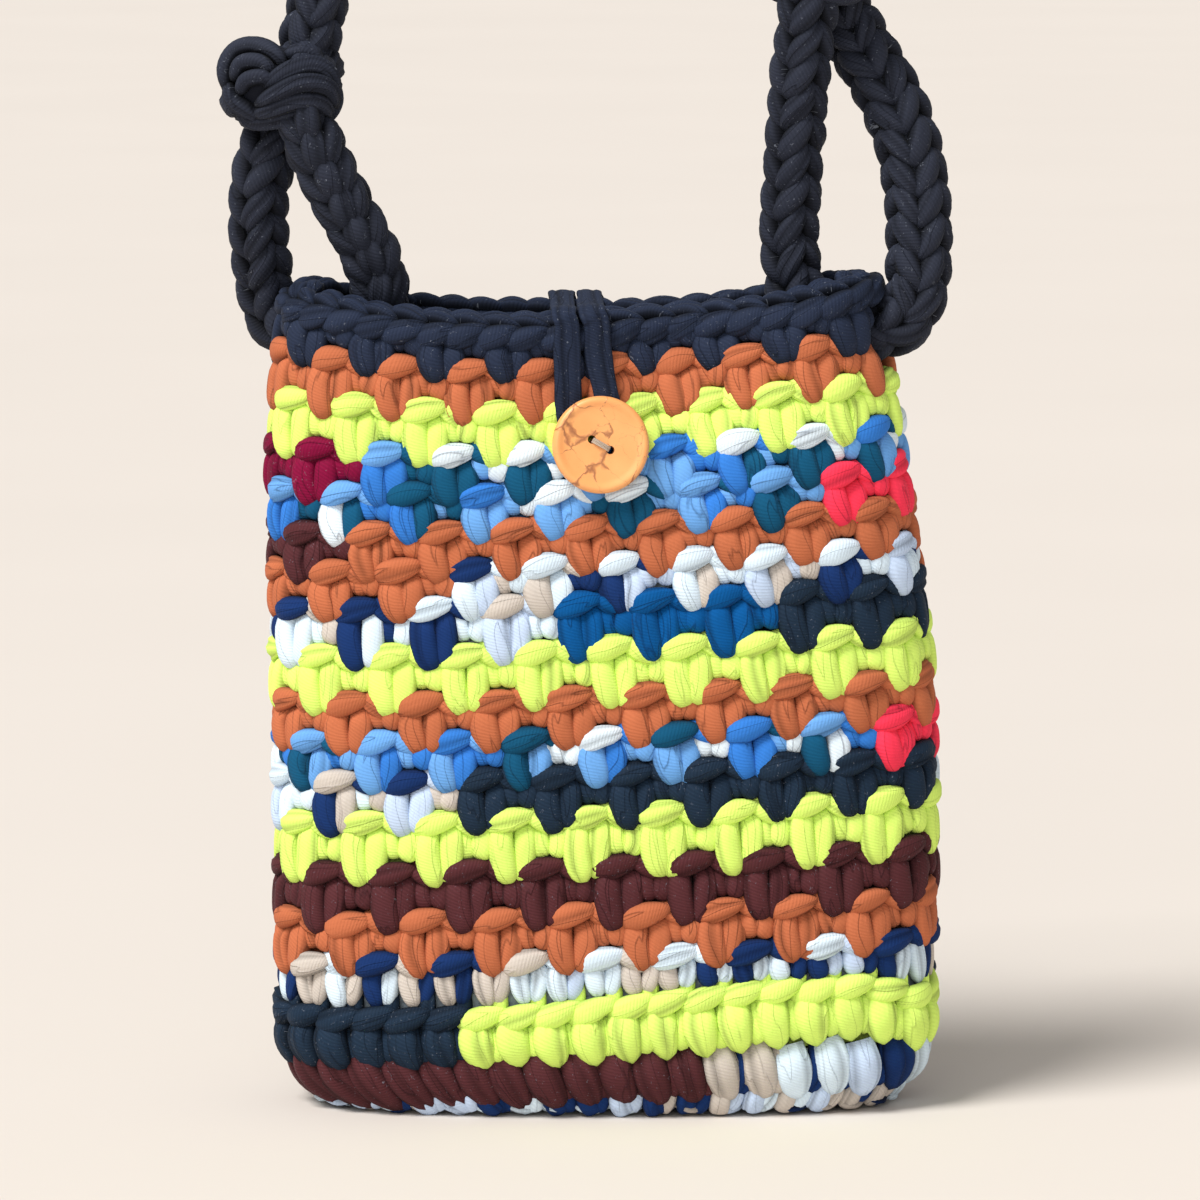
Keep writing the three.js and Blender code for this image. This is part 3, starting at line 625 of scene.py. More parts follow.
def ridge_stitch(skein, index, u0):
    """The ridge round: a full chain of leaves, spikes up between the drops above, and plump posts below."""
    for half in (0.0, 0.5):
        put = putter(skein, index, u0 + half)
        put([(5.2, -1.0, -1.6), (6.4, 5.4, -1.3), (8.0, 11.0, -2.4)], 6.4, 2.0, ends=(0.3, 0.9))
        put([(5.0, -2.4, -3.0), (5.4, -9.0, -1.0), (4.4, LOW + 1.0, -1.5)],
            7.6, 3.1, "drop", neck=0.85, tip=0.62, flat=0.85, creases=0)
        put([(-2.6, -1.6, -2.4), (-2.6, -9.0, 0.3), (0.4, LOW - 1.0, -0.6)],
            12.6, 4.1, "drop", neck=0.82, tip=0.5, creases=skein.rng.choice((1, 1, 2)), flat=0.85)
        put([(-8.8, -3.0, -1.4), (-0.8, -0.2, 0.8), (8.6, 2.6, -0.8)], 8.8, 3.3, ends=(0.42, 0.62))


def foot_stitch(skein, index, u0):
    """The round that turns under the bag: plump posts."""
    for half in (0.0, 0.5):
        for path, width, thick, tip in (
            ([(3.4, 23.0, -2.8), (5.6, 14.0, -1.2), (5.6, 5.4, -1.7)], 7.6, 3.0, 0.6),
            ([(-6.4, 24.0, -2.0), (-2.8, 14.5, 0.2), (2.2, 4.0, -0.6)], 12.8, 3.7, 0.48),
        ):
            rows = []
            for a, b, c in jitter(skein, path, 0.35):
                u = u0 + half + a / UNIT
                rows.append((u, b + TILT * 0.6 * float(outline(u, POST_FOOT)[0]), c))
            lobe(skein, wall, rows, width, thick, "drop", neck=0.8, tip=tip, flat=0.85,
                 creases=skein.rng.choice((1, 2)))


def facing(point, z):
    """Straight up or down, once for each point."""
    return np.repeat(np.array([[0.0, 0.0, z]]), len(point), 0)


def rim_top(u, inward, out):
    """Points on top of the rim, inward millimetres from the wall's outside."""
    z = leaf_height(0, u) + RIM_BAND
    x, y = outline(u, z)
    z = z - CORNER_DROP * smooth(x, 78.0, 98.0)
    point = np.stack([x, y, z], -1) - wall_normal(u, z) * inward[:, None]
    point[:, 2] = z + out
    return point, facing(point, 1.0)


def rim_chain(skein):
    """The bound edge: chains of leaves outside and inside the rim, with slanting loops between them on top."""
    last = np.full(3, math.inf)
    for k in range(RIM_LOOPS):
        u0 = SEAM + (k + 0.3) * PAIRS / RIM_LOOPS
        top = leaf_height(0, u0)
        here = inner_wall(np.array([u0]), np.array([top]), np.zeros(1))[0][0]
        roomy = np.linalg.norm(here - last) > LOOP_ROOM  # the inside of a tight corner takes fewer loops
        if roomy:
            last = here
            drop = CORNER_DROP * float(smooth(here[0], 70.0, 88.0))
            for path, width in ((((-8.0, 2.6, -0.6), (0.0, 0.4, 1.0), (8.0, 0.2, -0.6)), 7.4),
                                (((-7.0, -6.4, -0.6), (0.0, -4.6, 0.8), (7.4, -6.0, -0.6)), 6.4)):
                rows = [(u0 + a / UNIT, top + b - drop, c) for a, b, c in path]
                lobe(skein, inner_wall, rows, width, 2.5, ends=(0.42, 0.6), creases=1)
        loops = [([(-9.6, 8.4, -1.0), (-1.0, 9.4, 1.2), (7.6, 7.4, -0.4)], 6.4)] if roomy else []
        for path, width in loops + [([(-7.6, 7.2, -0.6), (0.6, 4.2, 0.8), (8.6, 1.4, -1.4)], 6.6)]:
            rows = [(u0 + a / UNIT, b, c) for a, b, c in jitter(skein, path, 0.25)]
            lobe(skein, rim_top, rows, width, 2.8, ends=(0.42, 0.5), creases=skein.rng.choice((1, 2)))
        rows = to_wall(0, u0, jitter(skein, [(-8.8, -3.0, -1.4), (-0.6, -0.2, 0.6), (9.0, 2.8, -0.7)], 0.25))
        lobe(skein, wall, rows, 8.6, 3.3, ends=(0.42, 0.6), creases=skein.rng.choice((1, 1, 2)))


def inner_wall(u, z, out):
    """As wall, but on the inside, with out measured into the bag."""
    x, y = outline(u, z)
    normal = wall_normal(u, np.maximum(z, EDGE_RISE + 2))
    return np.stack([x, y, z + 0 * x], -1) - normal * (WALL - 1.6 + out)[..., None], -normal


def backing(skein, index, start, end):
    """The cloth behind the lobes, and the inside of the wall, both darkened as painted shade."""
    u = np.linspace(start, end, max(3, int(round((end - start) * 8))) + 1)
    if index > LAST:
        top, low = FOOT_TOP, FOOT_LOW + 0 * u
    else:
        top, low = leaf_height(index, u) + (4.5 if index == 0 else 1.5), next_height(index, u) - 2.0
    shares = np.linspace(0, 1, 6)
    levels = [top * (1 - share) + low * share for share in shares]
    lays = lay((shares * 14)[:, None], u * UNIT, 3.0)
    # Painted shade: the cloth behind the lobes at 0.55 of the yarn's colour.
    skein.grid(np.stack([wall(u, z, CLOTH_DEPTH + 0 * u)[0] for z in levels]), skein.tint(0.55), lays)
    if index <= LAST:
        inside = np.stack([inner_wall(u, z, 0.4 + 0 * u)[0] for z in levels])
        # Painted shade: the inside of the wall at 0.8 of the yarn's colour.
        skein.grid(inside[::-1], skein.tint(0.8), lays)


def inner_stitches(skein, index, start, end):
    """Small lying bumps on the inside, a low one and a high one for each stitch."""
    for k in range(PAIRS * 2):
        u0 = SEAM + (k + 0.5 + 0.3 * index % 1) * 0.5
        while u0 < start:
            u0 += PAIRS
        if u0 >= end:
            continue
        for path, width, shape in (([(-1.0, -4.2, -1.0), (1.0, LOW + 1.6, -1.0)], 8.2, "drop"),
                                   ([(-5.6, -1.5, -0.5), (0, -2.6, -0.5), (5.6, -1.2, -0.5)], 6.0, "leaf")):
            lobe(skein, inner_wall, to_wall(index, u0, path), width, 1.9, shape, 1, stations=7, across=9)


def make_rounds():
    kinds = {LAST - 1: spiked_stitch, LAST: ridge_stitch, LAST + 1: foot_stitch}
    for index, runs in enumerate(RUNS):
        for order, (name, *span) in enumerate(runs):
            start, end = span or (SEAM, SEAM + PAIRS)
            seed = 100 * index + order
            skein = Skein(name, seed + 1, seed + 7)
            backing(skein, index, start, end)
            for pair in range(-PAIRS, 2 * PAIRS):
                u0 = FIRST_PLACE + LEAN * index + pair
                if start <= u0 + 0.14 < end:
                    kinds.get(index, stitch)(skein, index, u0)
            if index == 0:
                rim_chain(skein)
            if index < INNER_ROUNDS:
                inner_stitches(skein, index, start, end)
            piece = skein.build(f"stitches_{index + 1:02d}_{name}")
            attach(piece, "root")
            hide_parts(f"round_{index + 1:02d}_{name}")


make_rounds()

FORWARD = np.array([0.0, -1.0, 0.0])
STRAP_HALF = (7.6, 8.8)
STRAP_PITCH = 10.4
LOBE_SINK = 2.6  # how far below the surface of a cord or knot its lobes start
CORE_SINK = 2.4

# Columns of lobes round the strap: place round it and half width in degrees, and lean (1 is up to the right).
ROPE = ((0, 46, 1), (78, 34, -1), (136, 34, 1), (180, 24, -1), (224, 34, 1), (282, 34, -1))
PLAIT = ((0, 26, 0.5), (56, 34, 1), (116, 34, -1), (180, 36, 1), (244, 34, -1), (304, 34, -1))
CHEVRONS = ((30, 34, 1), (90, 34, -1), (150, 34, 1), (210, 34, -1), (270, 34, 1), (330, 34, -1))


def cord_lobes(skein, points, layouts, down=False, halves=(1.0, 1.0)):
    """Columns of slanting lobes round a cord. The first layout gives way to the second half way along it."""
    line = evenly(points, 1.0)
    rng, tangent = skein.rng, unit(np.gradient(line, axis=0))
    front = unit(FORWARD - tangent * (tangent @ FORWARD)[:, None])
    side = np.cross(tangent, front)
    frames = np.stack([line, tangent, front, side])
    length = len(line) - 1

    def place(angle, s, out):
        at = np.clip(s, 0, length)
        low = np.minimum(at.astype(int), length - 1)
        f = (at - low)[:, None]
        base, ahead, fore, aside = frames[:, low] * (1 - f) + frames[:, low + 1] * f
        share = smooth(at / length, 0.35, 0.6)
        wide = (STRAP_HALF[1] * (halves[0] * (1 - share) + halves[1] * share))[:, None]
        angle = np.radians(angle)[:, None]
        fore, aside = fore * np.cos(angle), aside * np.sin(angle)
        normal = unit(fore / STRAP_HALF[0] + aside / wide)
        reach = fore * (STRAP_HALF[0] - LOBE_SINK) + aside * (wide - LOBE_SINK)
        return base + ahead * (s - at)[:, None] + reach + normal * out[:, None], normal

    count = int(length / STRAP_PITCH)
    for row in range(-1, count + 1):
        s0 = (row + 0.5) * length / count
        early = s0 < 0.5 * length
        for centre, half, lean in layouts[0 if early else 1]:
            if down and early:
                centre = -centre
            reach = 6.6 + 0.055 * half
            s1 = s0 + rng.gauss(0, 0.35)
            path = [(centre + half * lean * k + rng.gauss(0, 1.5), s1 + reach * k, c + rng.gauss(0, 0.12))
                    for k, c in ((-1.0, -2.2), (-0.36, 0.15), (0.36, 0.15), (1.0, -2.2))]
            if path[0][1] < -3 or path[-1][1] > length + 3:
                continue
            width = (8.0 if abs(lean) == 1 else 9.6) * (1 + rng.uniform(-0.08, 0.08))
            lobe(skein, place, path, width, 3.9, ends=(0.46, 0.56), stations=13, across=12,
                 creases=rng.choice((1, 1, 2)))
    ring = np.linspace(0, 2 * math.pi, 13)[:-1]
    core = sweep(line[::3], front[::3], side[::3], np.cos(ring)[None] * (STRAP_HALF[0] - CORE_SINK),
                 np.sin(ring)[None] * (STRAP_HALF[1] - CORE_SINK))
    # The core, at 0.6 of the yarn's colour, is painted shade in the gaps between the lobes.
    skein.grid(core, skein.tint(0.6), lay(ring * 8, (np.arange(len(core)) * 3.0)[:, None], 0.0), closed=True)


def make_strap():
    skein = Skein("strap", 901, 902)
    cord_lobes(skein, LEFT_LOOP, (ROPE, PLAIT), down=True, halves=(1.0, 1.04))
    cord_lobes(skein, SPAN, (CHEVRONS, CHEVRONS))
    cord_lobes(skein, RIGHT_LOOP, (CHEVRONS, ROPE), down=True, halves=(1.12, 1.0))
    strap = skein.build("strap_cord")
    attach(strap, "root")
    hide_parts("strap_left_loop", "strap_span", "strap_right_loop")
    path = np.concatenate([evenly(LEFT_LOOP, 4.0), evenly(SPAN, 4.0), evenly(RIGHT_LOOP, 4.0)]) * MM
    knots = [make_knot("strap_left_knot", LEFT_KNOT, 1), make_knot("strap_right_knot", RIGHT_KNOT, -1)]


KNOT_SIZE = (21.0, 18.0, 14.5)
KNOT_FRONT = (21.5, 16.5)
KNOT_LEAN = 0.35
KNOT_WRAPS, WRAP_STEP = 7, 38
# Folds on the front of a knot: points in mm right and up of its middle, width, and how far each stands out.
KNOT_FOLDS = (
    (((18.6, -3.6), (15.6, 3.4), (9.6, 6.4), (1.5, 4.2), (-5.4, -0.6)), 6.4, 1.0),
    (((18.2, -7.4), (14.6, -0.6), (6.6, 0.8), (-1.6, -2.6), (-7.6, -6.2)), 6.6, 1.9),
    (((16.4, -11.0), (12.6, -5.4), (5.4, -4.6), (-3.6, -7.6), (-8.4, -9.6)), 6.4, 1.5),
    (((12.5, -13.0), (6.0, -9.6), (-2.0, -11.2), (-9.5, -11.6), (-14.6, -8.4)), 6.6, 0.7),
    (((-4.4, -13.0), (-10.8, -8.4), (-15.8, -4.6), (-18.0, 0.4)), 6.6, 0.4),
    (((-18.4, -2.0), (-18.0, 5.0), (-14.6, 10.4), (-8.6, 12.4), (-2.0, 10.6), (2.0, 6.4)), 6.4, 0.6),
    (((-16.2, 1.6), (-12.6, 6.8), (-6.4, 7.6), (-1.6, 4.4)), 5.6, 0.3),
    (((-14.0, -3.0), (-10.8, 1.6), (-5.4, 2.8), (-2.5, 0.5)), 5.4, 0.2),
    (((18.4, 1.6), (18.0, -5.6), (13.8, -11.6), (6.0, -14.4)), 5.8, -0.3),
    (((15.4, 7.4), (8.0, 11.0), (1.0, 10.8)), 6.2, -0.6),
)


def make_knot(node, centre, mirror):
    """An overhand knot: a few wide folds of the cord wrapped over a core."""
    skein = Skein("strap", 950 + mirror, 960 + mirror)
    rng = skein.rng
    size = np.array(KNOT_SIZE)
    c, s = math.cos(-mirror * KNOT_LEAN), math.sin(-mirror * KNOT_LEAN)
    turn = np.array([[c, 0, s], [0, 1, 0], [-s, 0, c]])

    def place(lon, lat, out):
        lon, lat = np.radians(lon), np.radians(lat)
        ball = np.stack([np.cos(lat) * np.sin(lon), -np.cos(lat) * np.cos(lon), np.sin(lat)], -1)
        normal = unit(ball / size)
        return centre + (ball * (size - LOBE_SINK) + normal * out[:, None]) @ turn.T, normal @ turn.T

    def front(x, z, out):
        """Points on the front of the knot, from millimetres right and up of its middle."""
        x = x * mirror
        depth = np.sqrt(np.clip(1 - (x / KNOT_FRONT[0]) ** 2 - (z / KNOT_FRONT[1]) ** 2, 0.03, 1))
        normal = unit(np.stack([x / KNOT_FRONT[0] ** 2, -depth / size[1], z / KNOT_FRONT[1] ** 2], -1))
        return centre + np.stack([x, -depth * (size[1] - LOBE_SINK), z], -1) + normal * out[:, None], normal

    for k in range(KNOT_WRAPS):
        lon = 50 + k * WRAP_STEP
        for lat, lean in ((-40, 16), (-4, 18), (32, 16)):
            path = [(lon - 34, lat - lean, -1.6), (lon - 8, lat - 2, 0.4), (lon + 14, lat + 4, 0.4),
                    (lon + 38, lat + lean, -1.6)]
            path = [(a * mirror + rng.gauss(0, 3), b + rng.gauss(0, 2), c) for a, b, c in path]
            lobe(skein, place, path, 9.6, 3.0, ends=(0.45, 0.5), stations=14, creases=2)
    for path, width, lift in KNOT_FOLDS:
        rows = [(a, b, lift - (1.2 if k in (0, len(path) - 1) else 0)) for k, (a, b) in enumerate(path)]
        lobe(skein, front, rows, width, 3.2, ends=(0.3, 0.35), stations=22, creases=2)
    lon = np.linspace(-180, 180, 25)
    core = np.stack([place(lon, lat + 0 * lon, 0 * lon)[0] for lat in np.linspace(-89, 89, 13)])
    # The core, at 0.6 of the yarn's colour, is painted shade between the folds.
    skein.grid(core, skein.tint(0.6), 0.0)
    piece = skein.build(node + "_folds")
    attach(piece, "root")
    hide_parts(node)
    return piece


make_strap()

# Closure loop, button and thread.
STRIP_WIDTH, STRIP_THICKNESS, STRIP_BACK_DROP, STRIP_SAG, STRIPS_AT_RIM = 8.8, 2.4, 13.0, 3.0, 9.4
LEAF_BULGE, STRIP_LIFT, GAP = 2.2, 0.8, 0.3
BUTTON_X, BUTTON_Z, BUTTON_RADIUS, BUTTON_THICKNESS = -2.7, 229.0, 16.2, 4.2
RIM_MIDDLE, BUTTON_EDGE, BUTTON_DISH = 4.6, 1.6, 0.7
HOLES_APART, HOLE_RADIUS, HOLE_TURN, THREAD_RADIUS = 7.1, 1.25, -0.53, 0.9
STRIPS_LEFT = 7.6  # how far the strips' middle at the rim is left of the button
SHOULDER = RIM_MIDDLE + 3.0
STRIP_OUT = LEAF_BULGE + STRIP_LIFT + STRIP_THICKNESS / 2
BUTTON_BACK = LEAF_BULGE + STRIP_LIFT + STRIP_THICKNESS + GAP


def front_place(x, z, out):
    """The point of the front wall at x and z, out millimetres proud of it."""
    low, high = -PAIRS / 4, PAIRS / 4
    for _ in range(40):
        middle = (low + high) / 2
        if float(outline(middle, z)[0]) < x:
            low = middle
        else:
            high = middle
    x0, y0 = outline(low, z)
    along = unit(np.array(outline(low + 0.02, z)) - np.array(outline(low - 0.02, z)))
    return np.array([float(x0) + along[1] * out, float(y0) - along[0] * out, z])


BUTTON_BASE = front_place(BUTTON_X, BUTTON_Z, 0)
FRONT_RIGHT, FRONT_UP = (
    unit(front_place(BUTTON_X + dx, BUTTON_Z + dz, 0) - front_place(BUTTON_X - dx, BUTTON_Z - dz, 0))
    for dx, dz in ((BUTTON_RADIUS, 0), (0, BUTTON_RADIUS))
)
FRONT_NORMAL = unit(np.cross(FRONT_RIGHT, FRONT_UP))


def behind_button(x, z):
    return BUTTON_BASE + FRONT_NORMAL * STRIP_OUT + FRONT_RIGHT * (x - BUTTON_X) + FRONT_UP * (z - BUTTON_Z)


def strip_route(back_x, low_x):
    """Middle line of a strip, from the back over the rim and down to the button, and the way each point faces."""
    rim_x = back_x + 1.0
    back_z, rim_z = (RIM_HEIGHT + TILT * x + GAP + STRIP_THICKNESS / 2 + 0.9 for x in (back_x, rim_x))
    back_y = -front_place(back_x, RIM_HEIGHT, -RIM_MIDDLE)[1]
    rim_y = front_place(rim_x, RIM_HEIGHT, -RIM_MIDDLE)[1]
    route = []
    for k in range(3):
        x, y, z = front_place(back_x, back_z - STRIP_BACK_DROP + k * 4, STRIP_OUT)
        route.append(((x, -y, z), (0, 1, 0)))
    route += [
        ((back_x, back_y + SHOULDER, back_z - 1.5), (0, 0.7, 0.7)),
        ((back_x, back_y, back_z), (0, 0, 1)),
        (((back_x + rim_x) / 2, (back_y + rim_y) / 2, rim_z - STRIP_SAG), (0, 0, 1)),
        ((rim_x, rim_y, rim_z), (0, 0, 1)),
        ((rim_x, rim_y - SHOULDER, rim_z - 1.5), (0, -0.7, 0.7)),
    ]
    for k in range(7):
        share = k / 6
        z = (rim_z - 5) * (1 - share) + BUTTON_Z * share
        x = rim_x * (1 - share * share) + low_x * share * share
        spot = behind_button(x, z) if z < BUTTON_Z + BUTTON_RADIUS else front_place(x, z, STRIP_OUT)
        route.append((spot, FRONT_NORMAL))
    return route


def make_closure():
    half = HOLES_APART / 2 + THREAD_RADIUS + GAP + STRIP_WIDTH / 2
    left, right = (strip_route(BUTTON_X - STRIPS_LEFT + hand * STRIPS_AT_RIM / 2, BUTTON_X + hand * half)
                   for hand in (-1, 1))
    turn = [(behind_button(BUTTON_X - half * math.cos(a), BUTTON_Z - half * math.sin(a)), FRONT_NORMAL)
            for a in np.linspace(0, math.pi, 8)[1:-1]]
    route = left + turn + right[::-1]
    spots, normals = (spline(rows, (len(route) - 1) * 6 + 1) for rows in zip(*route))
    tangent = unit(np.gradient(spots, axis=0))
    side = unit(np.cross(tangent, normals))
    theta = np.linspace(0, 2 * math.pi, 25)[:-1]
    x, y = bend(np.cos(theta), 0.7), bend(np.sin(theta), 0.8)
    along = distances(spots)[:, None]
    ys = np.repeat(y[None, :], len(spots), 0)
    shade = 0.86 * (0.45 + 0.55 * smooth(ys, -0.1, 0.7))
    for k, depth in ((5, 0.34), (8, 0.14)):
        ys[:, k] -= depth
        shade[:, k] *= 1 - 1.6 * depth
    xs = x + 0.12 * np.sin(along / 11 + 1.0) * (1 - x**2)
    width = STRIP_WIDTH * (1 + 0.05 * np.sin(along / 7.0) + 0.03 * np.sin(along / 2.9 + 2))
    points = sweep(spots, side, np.cross(side, tangent), xs * width / 2, ys * STRIP_THICKNESS / 2)
    skein = Skein("navy")
    skein.grid(points, skein.tint(shade[..., None]), lay(xs * STRIP_WIDTH / 2, along, 11.0), closed=True)
    piece = skein.build("closure_strips")
    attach(piece, "root")
    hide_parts("closure_loop")


make_closure()


def stand_on_front():
    """From the button's own frame, its axis along y, to its place on the bag, in millimetres."""
    columns = (FRONT_RIGHT, FRONT_NORMAL, unit(np.cross(FRONT_RIGHT, FRONT_NORMAL)), BUTTON_BASE)
    return Matrix([*np.stack(columns, 1).tolist(), (0, 0, 0, 1)])


HOLE_SPOTS = [(s * HOLES_APART / 2 * math.cos(HOLE_TURN), s * HOLES_APART / 2 * math.sin(HOLE_TURN)) for s in (-1, 1)]


def wood():
    """Pale lacquered wood with a brown crackle."""
    looks = Looks("crackled_wood")
    spot = looks.node("TexCoord", {}, "Object")
    warp = looks.noise(spot, 160.0, 4.0, output="Color")
    bent = looks.node("VectorMath", {0: warp, 1: (0.006, 0.006, 0.006), 2: spot}, operation="MULTIPLY_ADD")
    cells = looks.node("TexVoronoi", {"Scale": 105.0, "Vector": bent}, "Distance", feature="DISTANCE_TO_EDGE")
    edge = looks.noise(spot, 260.0).past(0.40, 0.55) * looks.noise(spot, 95.0, 1.0).past(0.44, 7.0)
    crack = (1.0 - cells / (edge + 0.004)).clamped()
    specks = looks.noise(spot, 1500.0).past(0.70, 12.0)
    colour = looks.mix(looks.noise(spot, 120.0, 3.0), lin(246, 160, 92), lin(255, 186, 116))
    colour = looks.mix(crack * 0.85, colour, lin(150, 88, 56))
    colour = looks.mix(specks * 0.5, colour, lin(170, 100, 60))
    return looks.done({"Base Color": colour, "Roughness": 0.42, "Coat Weight": 0.15, "Coat Roughness": 0.25,
                       "Normal": looks.bump(crack, 0.35, 0.0004)})


def make_button():
    low, high = BUTTON_BACK, BUTTON_BACK + BUTTON_THICKNESS
    middle, inner = (low + high) / 2, BUTTON_RADIUS - BUTTON_EDGE
    edge = [(inner + BUTTON_EDGE * math.cos(a), middle + BUTTON_THICKNESS / 2 * math.sin(a))
            for a in np.linspace(-math.pi / 2, math.pi / 2, 11)[1:-1]]
    dish = [(inner - 1.6 * BUTTON_EDGE * s, high - BUTTON_DISH * s * s * (3 - 2 * s)) for s in (0.25, 0.5, 0.75, 1.0)]
    profile = [(0.0, low), (inner, low), *edge, (inner, high), *dish, (0.0, high - BUTTON_DISH)]
    bm = bmesh.new()
    sides = 96
    turns = [2 * math.pi * k / sides for k in range(sides)]
    rings = [[bm.verts.new((radius * math.sin(a) * MM, height * MM, radius * math.cos(a) * MM))
              for a in (turns if radius else turns[:1])] for radius, height in profile]
    for one, other in zip(rings[:-1], rings[1:]):
        for k in range(sides):
            n = (k + 1) % sides
            corners = [one[k % len(one)], one[n % len(one)], other[n % len(other)], other[k % len(other)]]
            bm.faces.new(dict.fromkeys(corners))
    bmesh.ops.recalc_face_normals(bm, faces=bm.faces)
    disc = add_object("button_disc", bpy.data.meshes.new("button_disc"))
    bm.to_mesh(disc.data)
    bm.free()
    for x, z in HOLE_SPOTS:
        bm = bmesh.new()
        bmesh.ops.create_cone(bm, cap_ends=True, segments=40, radius1=HOLE_RADIUS * MM * 1.12,
                              radius2=HOLE_RADIUS * MM * 1.12, depth=0.03)
        bmesh.ops.rotate(bm, verts=bm.verts, matrix=Matrix.Rotation(math.pi / 2, 3, "X"))
        bmesh.ops.translate(bm, verts=bm.verts, vec=(x * MM, middle * MM, -z * MM))
        cutter = add_object("cutter", bpy.data.meshes.new("cutter"))
        bm.to_mesh(cutter.data)
        bm.free()
        modifier = disc.modifiers.new("hole", "BOOLEAN")
        modifier.operation, modifier.object, modifier.solver = "DIFFERENCE", cutter, "EXACT"
        bpy.context.view_layer.objects.active = disc
        bpy.ops.object.modifier_apply(modifier="hole")
        bpy.data.objects.remove(cutter)
    matrix = stand_on_front()
    matrix.translation *= MM
    disc.data.transform(matrix)
    disc.data.shade_smooth()
    disc.data.set_sharp_from_angle(angle=math.radians(40))
    disc.data.materials.append(wood())
    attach(disc, "root")
    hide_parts("button")


make_button()


def waxed_thread():
    looks = Looks("waxed_thread")
    dye_and_shade, across, along, _ = looks.yarn()
    ply = (across * 7.0 + along * 9.0).sine()
    return looks.done({"Base Color": looks.toned(dye_and_shade, ply * 0.12 + 0.9), "Roughness": 0.65,
                       "Normal": looks.bump(ply, 0.5, 0.0002)})


def make_thread():
    """Four strands of waxed thread through the button's holes."""
    matrix = np.array(stand_on_front())
    (x0, z0), (x1, z1) = HOLE_SPOTS
    top, foot = BUTTON_BACK + BUTTON_THICKNESS - BUTTON_DISH, BUTTON_BACK - 6.0
    level = np.array([0.0, 1.0, 0.0])
    along = unit(np.array([x1 - x0, 0.0, -(z1 - z0)]))
    across = np.cross(along, level)
    ring = np.linspace(0, 2 * math.pi, 11)[:-1]
    radius = 0.27
    skein = Skein()
    for k, offset in enumerate((-0.66, -0.22, 0.22, 0.66)):
        rise = top + 0.15 * (k % 2)
        a = np.array([x0, 0, -z0]) + across * offset + along * 0.55
        b = np.array([x1, 0, -z1]) + across * offset - along * 0.55
        route = [a * 0.98 + level * foot, a + level * (top - 1.0), a + along * 0.35 + level * (rise + 0.35),
                 (a + b) / 2 + level * (rise + 0.75),
                 b - along * 0.35 + level * (rise + 0.35), b + level * (top - 1.0), b * 0.98 + level * foot]
        line = spline(route, 46)
        side = unit(np.cross(unit(np.gradient(line, axis=0)), across))
        points = sweep(line, side, np.tile(across, (len(line), 1)), np.cos(ring)[None] * radius,
                       np.sin(ring)[None] * radius)
        lays = lay(ring * radius, (np.arange(len(line)) * 0.6)[:, None], k * 3.0)
        skein.grid(points @ matrix[:3, :3].T + matrix[:3, 3], np.array(lin(206, 186, 166)) * (0.94 + 0.04 * k),
                   lays, closed=True)
    piece = skein.build("button_stitching", waxed_thread())
    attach(piece, "root")
    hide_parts("button_thread")


make_thread()

SOLE_RISE = 3.5  # height of the underside, from which its lobes bulge down
FLOOR_RADIUS, FLOOR_SIDES = 16.0, 64  # metres
DAYLIGHT = (1.0, 0.995, 0.985)


def underside(x, y, out):
    """Points of the underside, out millimetres below it."""
    point = np.stack([x, y, SOLE_RISE - out], -1)
    return point, facing(point, -1.0)


def sole(u, inward, out):
    """Points of the underside from u round the bag, inward millimetres from its bottom edge."""
    x, y = outline(u, 6.0)
    base = np.stack([x, y], -1)
    base = base + unit(np.stack([np.clip(x, -70, 70), 0 * y], -1) - base) * inward[:, None]
    return underside(*base.T, out)


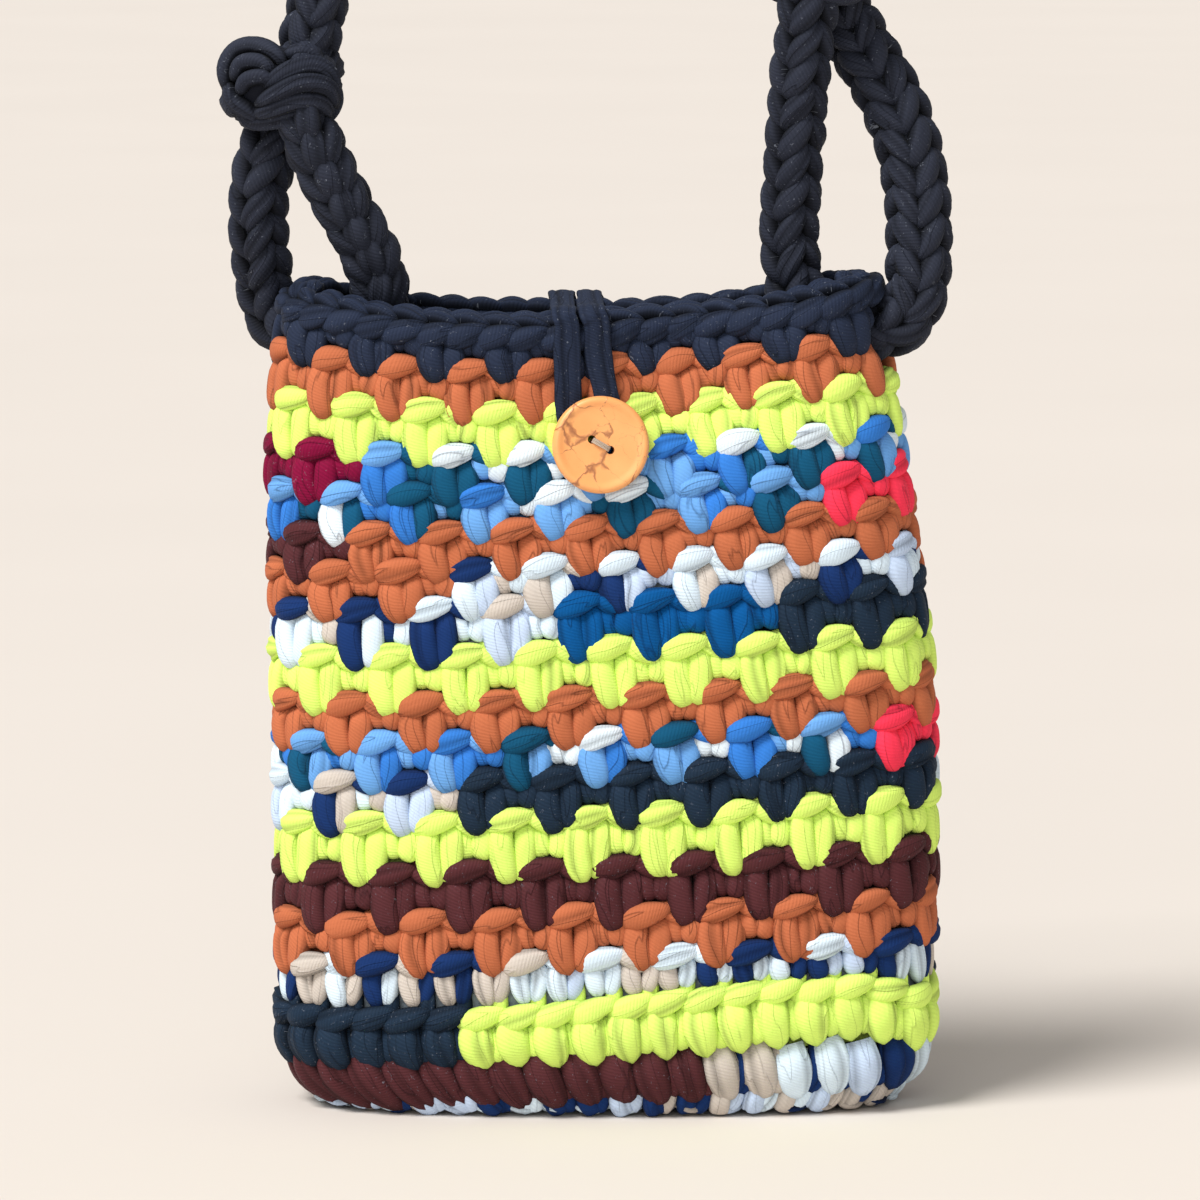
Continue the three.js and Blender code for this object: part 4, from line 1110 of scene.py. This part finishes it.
def make_floor_stitches():
    """The crocheted base: white and navy stitches round the bottom edge and across the underside."""
    skein = Skein("white", 501, 502)
    small = dict(ends=(0.45, 0.6), stations=9, across=9, creases=1)
    for k in range(PAIRS * 2):
        u0 = SEAM + (k + 0.6) * 0.5
        for path, width in (([(-3.4, 11.0, -2.6), (-2.0, 5.0, -0.4), (0.4, 1.2, -1.0)], 7.6),
                            ([(4.2, 10.5, -2.8), (3.4, 5.0, -0.9), (2.0, 1.6, -1.6)], 6.2)):
            rows = []
            for a, b, c in jitter(skein, path, 0.2):
                u = u0 + a / UNIT
                rows.append((u, max(b, 1.2) + TILT * 0.05 * float(outline(u, 6.0)[0]), c))
            lobe(skein, wall, rows, width, 2.5, "drop", neck=0.8, tip=0.8, creases=1)
        for inward, width in ((3.0, 6.6), (9.2, 6.8), (15.4, 6.8), (21.4, 6.8)):
            path = [(u0 - 0.28, inward - 1.0, -0.6), (u0, inward, 0.6), (u0 + 0.28, inward + 1.2, -0.6)]
            lobe(skein, sole, path, width, 2.2, **small)
    for k in range(26):
        x = -84 + k * 6.6
        path = [(x - 6, -1.6, 0), (x, 0.6, 0), (x + 6, 2.0, 0)]
        lobe(skein, underside, path, 6.4, 2.4, **small)
    x, y = outline(np.linspace(SEAM, SEAM + PAIRS, 161), 7.0)
    # Two sheets across the floor, the lower at 0.5 and the upper at 0.85 of the yarn's colour: painted shade.
    for level, order, share in ((3.4, 1, 0.5), (9.4, -1, 0.85)):
        rows = [np.stack([x * (1 - s) * 0.985, y * (1 - s) * 0.94, 0 * x + level], -1)
                for s in (0.0, 0.25, 0.5, 0.75, 0.98)][::order]
        points = np.stack(rows)
        skein.grid(points, skein.tint(share), lay(points[..., 0], points[..., 1], 5.0))
    piece = skein.build("base_stitches")
    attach(piece, "root")
    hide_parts("floor_white")


make_floor_stitches()


def make_stage():
    """A wide flat floor of one pale colour."""
    ring = [(FLOOR_RADIUS * math.cos(a), FLOOR_RADIUS * math.sin(a), 0)
            for a in np.linspace(0, 2 * math.pi, FLOOR_SIDES + 1)[:-1]]
    floor = add_object("studio_floor", bpy.data.meshes.new("studio_floor"))
    floor.data.from_pydata([*ring, (0, 0, 0)], [],
                           [(FLOOR_SIDES, k, (k + 1) % FLOOR_SIDES) for k in range(FLOOR_SIDES)])
    looks = Looks("pale_floor")
    cloud = looks.noise(looks.node("TexCoord", {}, "Object"), 3.0)
    floor.data.materials.append(looks.done({"Base Color": looks.mix(cloud, lin(217, 209, 201), lin(221, 213, 205)),
                                            "Roughness": 0.95, "Specular IOR Level": 0.1}))


def light(name, kind, direction, energy, colour, **settings):
    data = bpy.data.lights.new(name, kind)
    data.energy, data.color = energy, colour
    for key, value in settings.items():
        setattr(data, key, value)
    lamp = add_object(name, data)
    lamp.rotation_euler = Vector(direction).to_track_quat("-Z", "Y").to_euler()
    return lamp


make_stage()
fill = light("fill", "AREA", (0.4, 2.2, -0.85), 10, DAYLIGHT, shape="RECTANGLE", size=1.5, size_y=1.2)
fill.location = (-0.4, -2.2, 1.0)
light("sun", "SUN", (1.05, 0.85, -1.9), 3.3, (1.0, 0.99, 0.975), angle=math.radians(24))
world = bpy.data.worlds.new("world")
bpy.context.scene.world = world
world.use_nodes = True
sky = world.node_tree.nodes["Background"].inputs
sky["Color"].default_value = (*DAYLIGHT, 1.0)
sky["Strength"].default_value = 0.41
bpy.context.scene.view_settings.view_transform = "Standard"
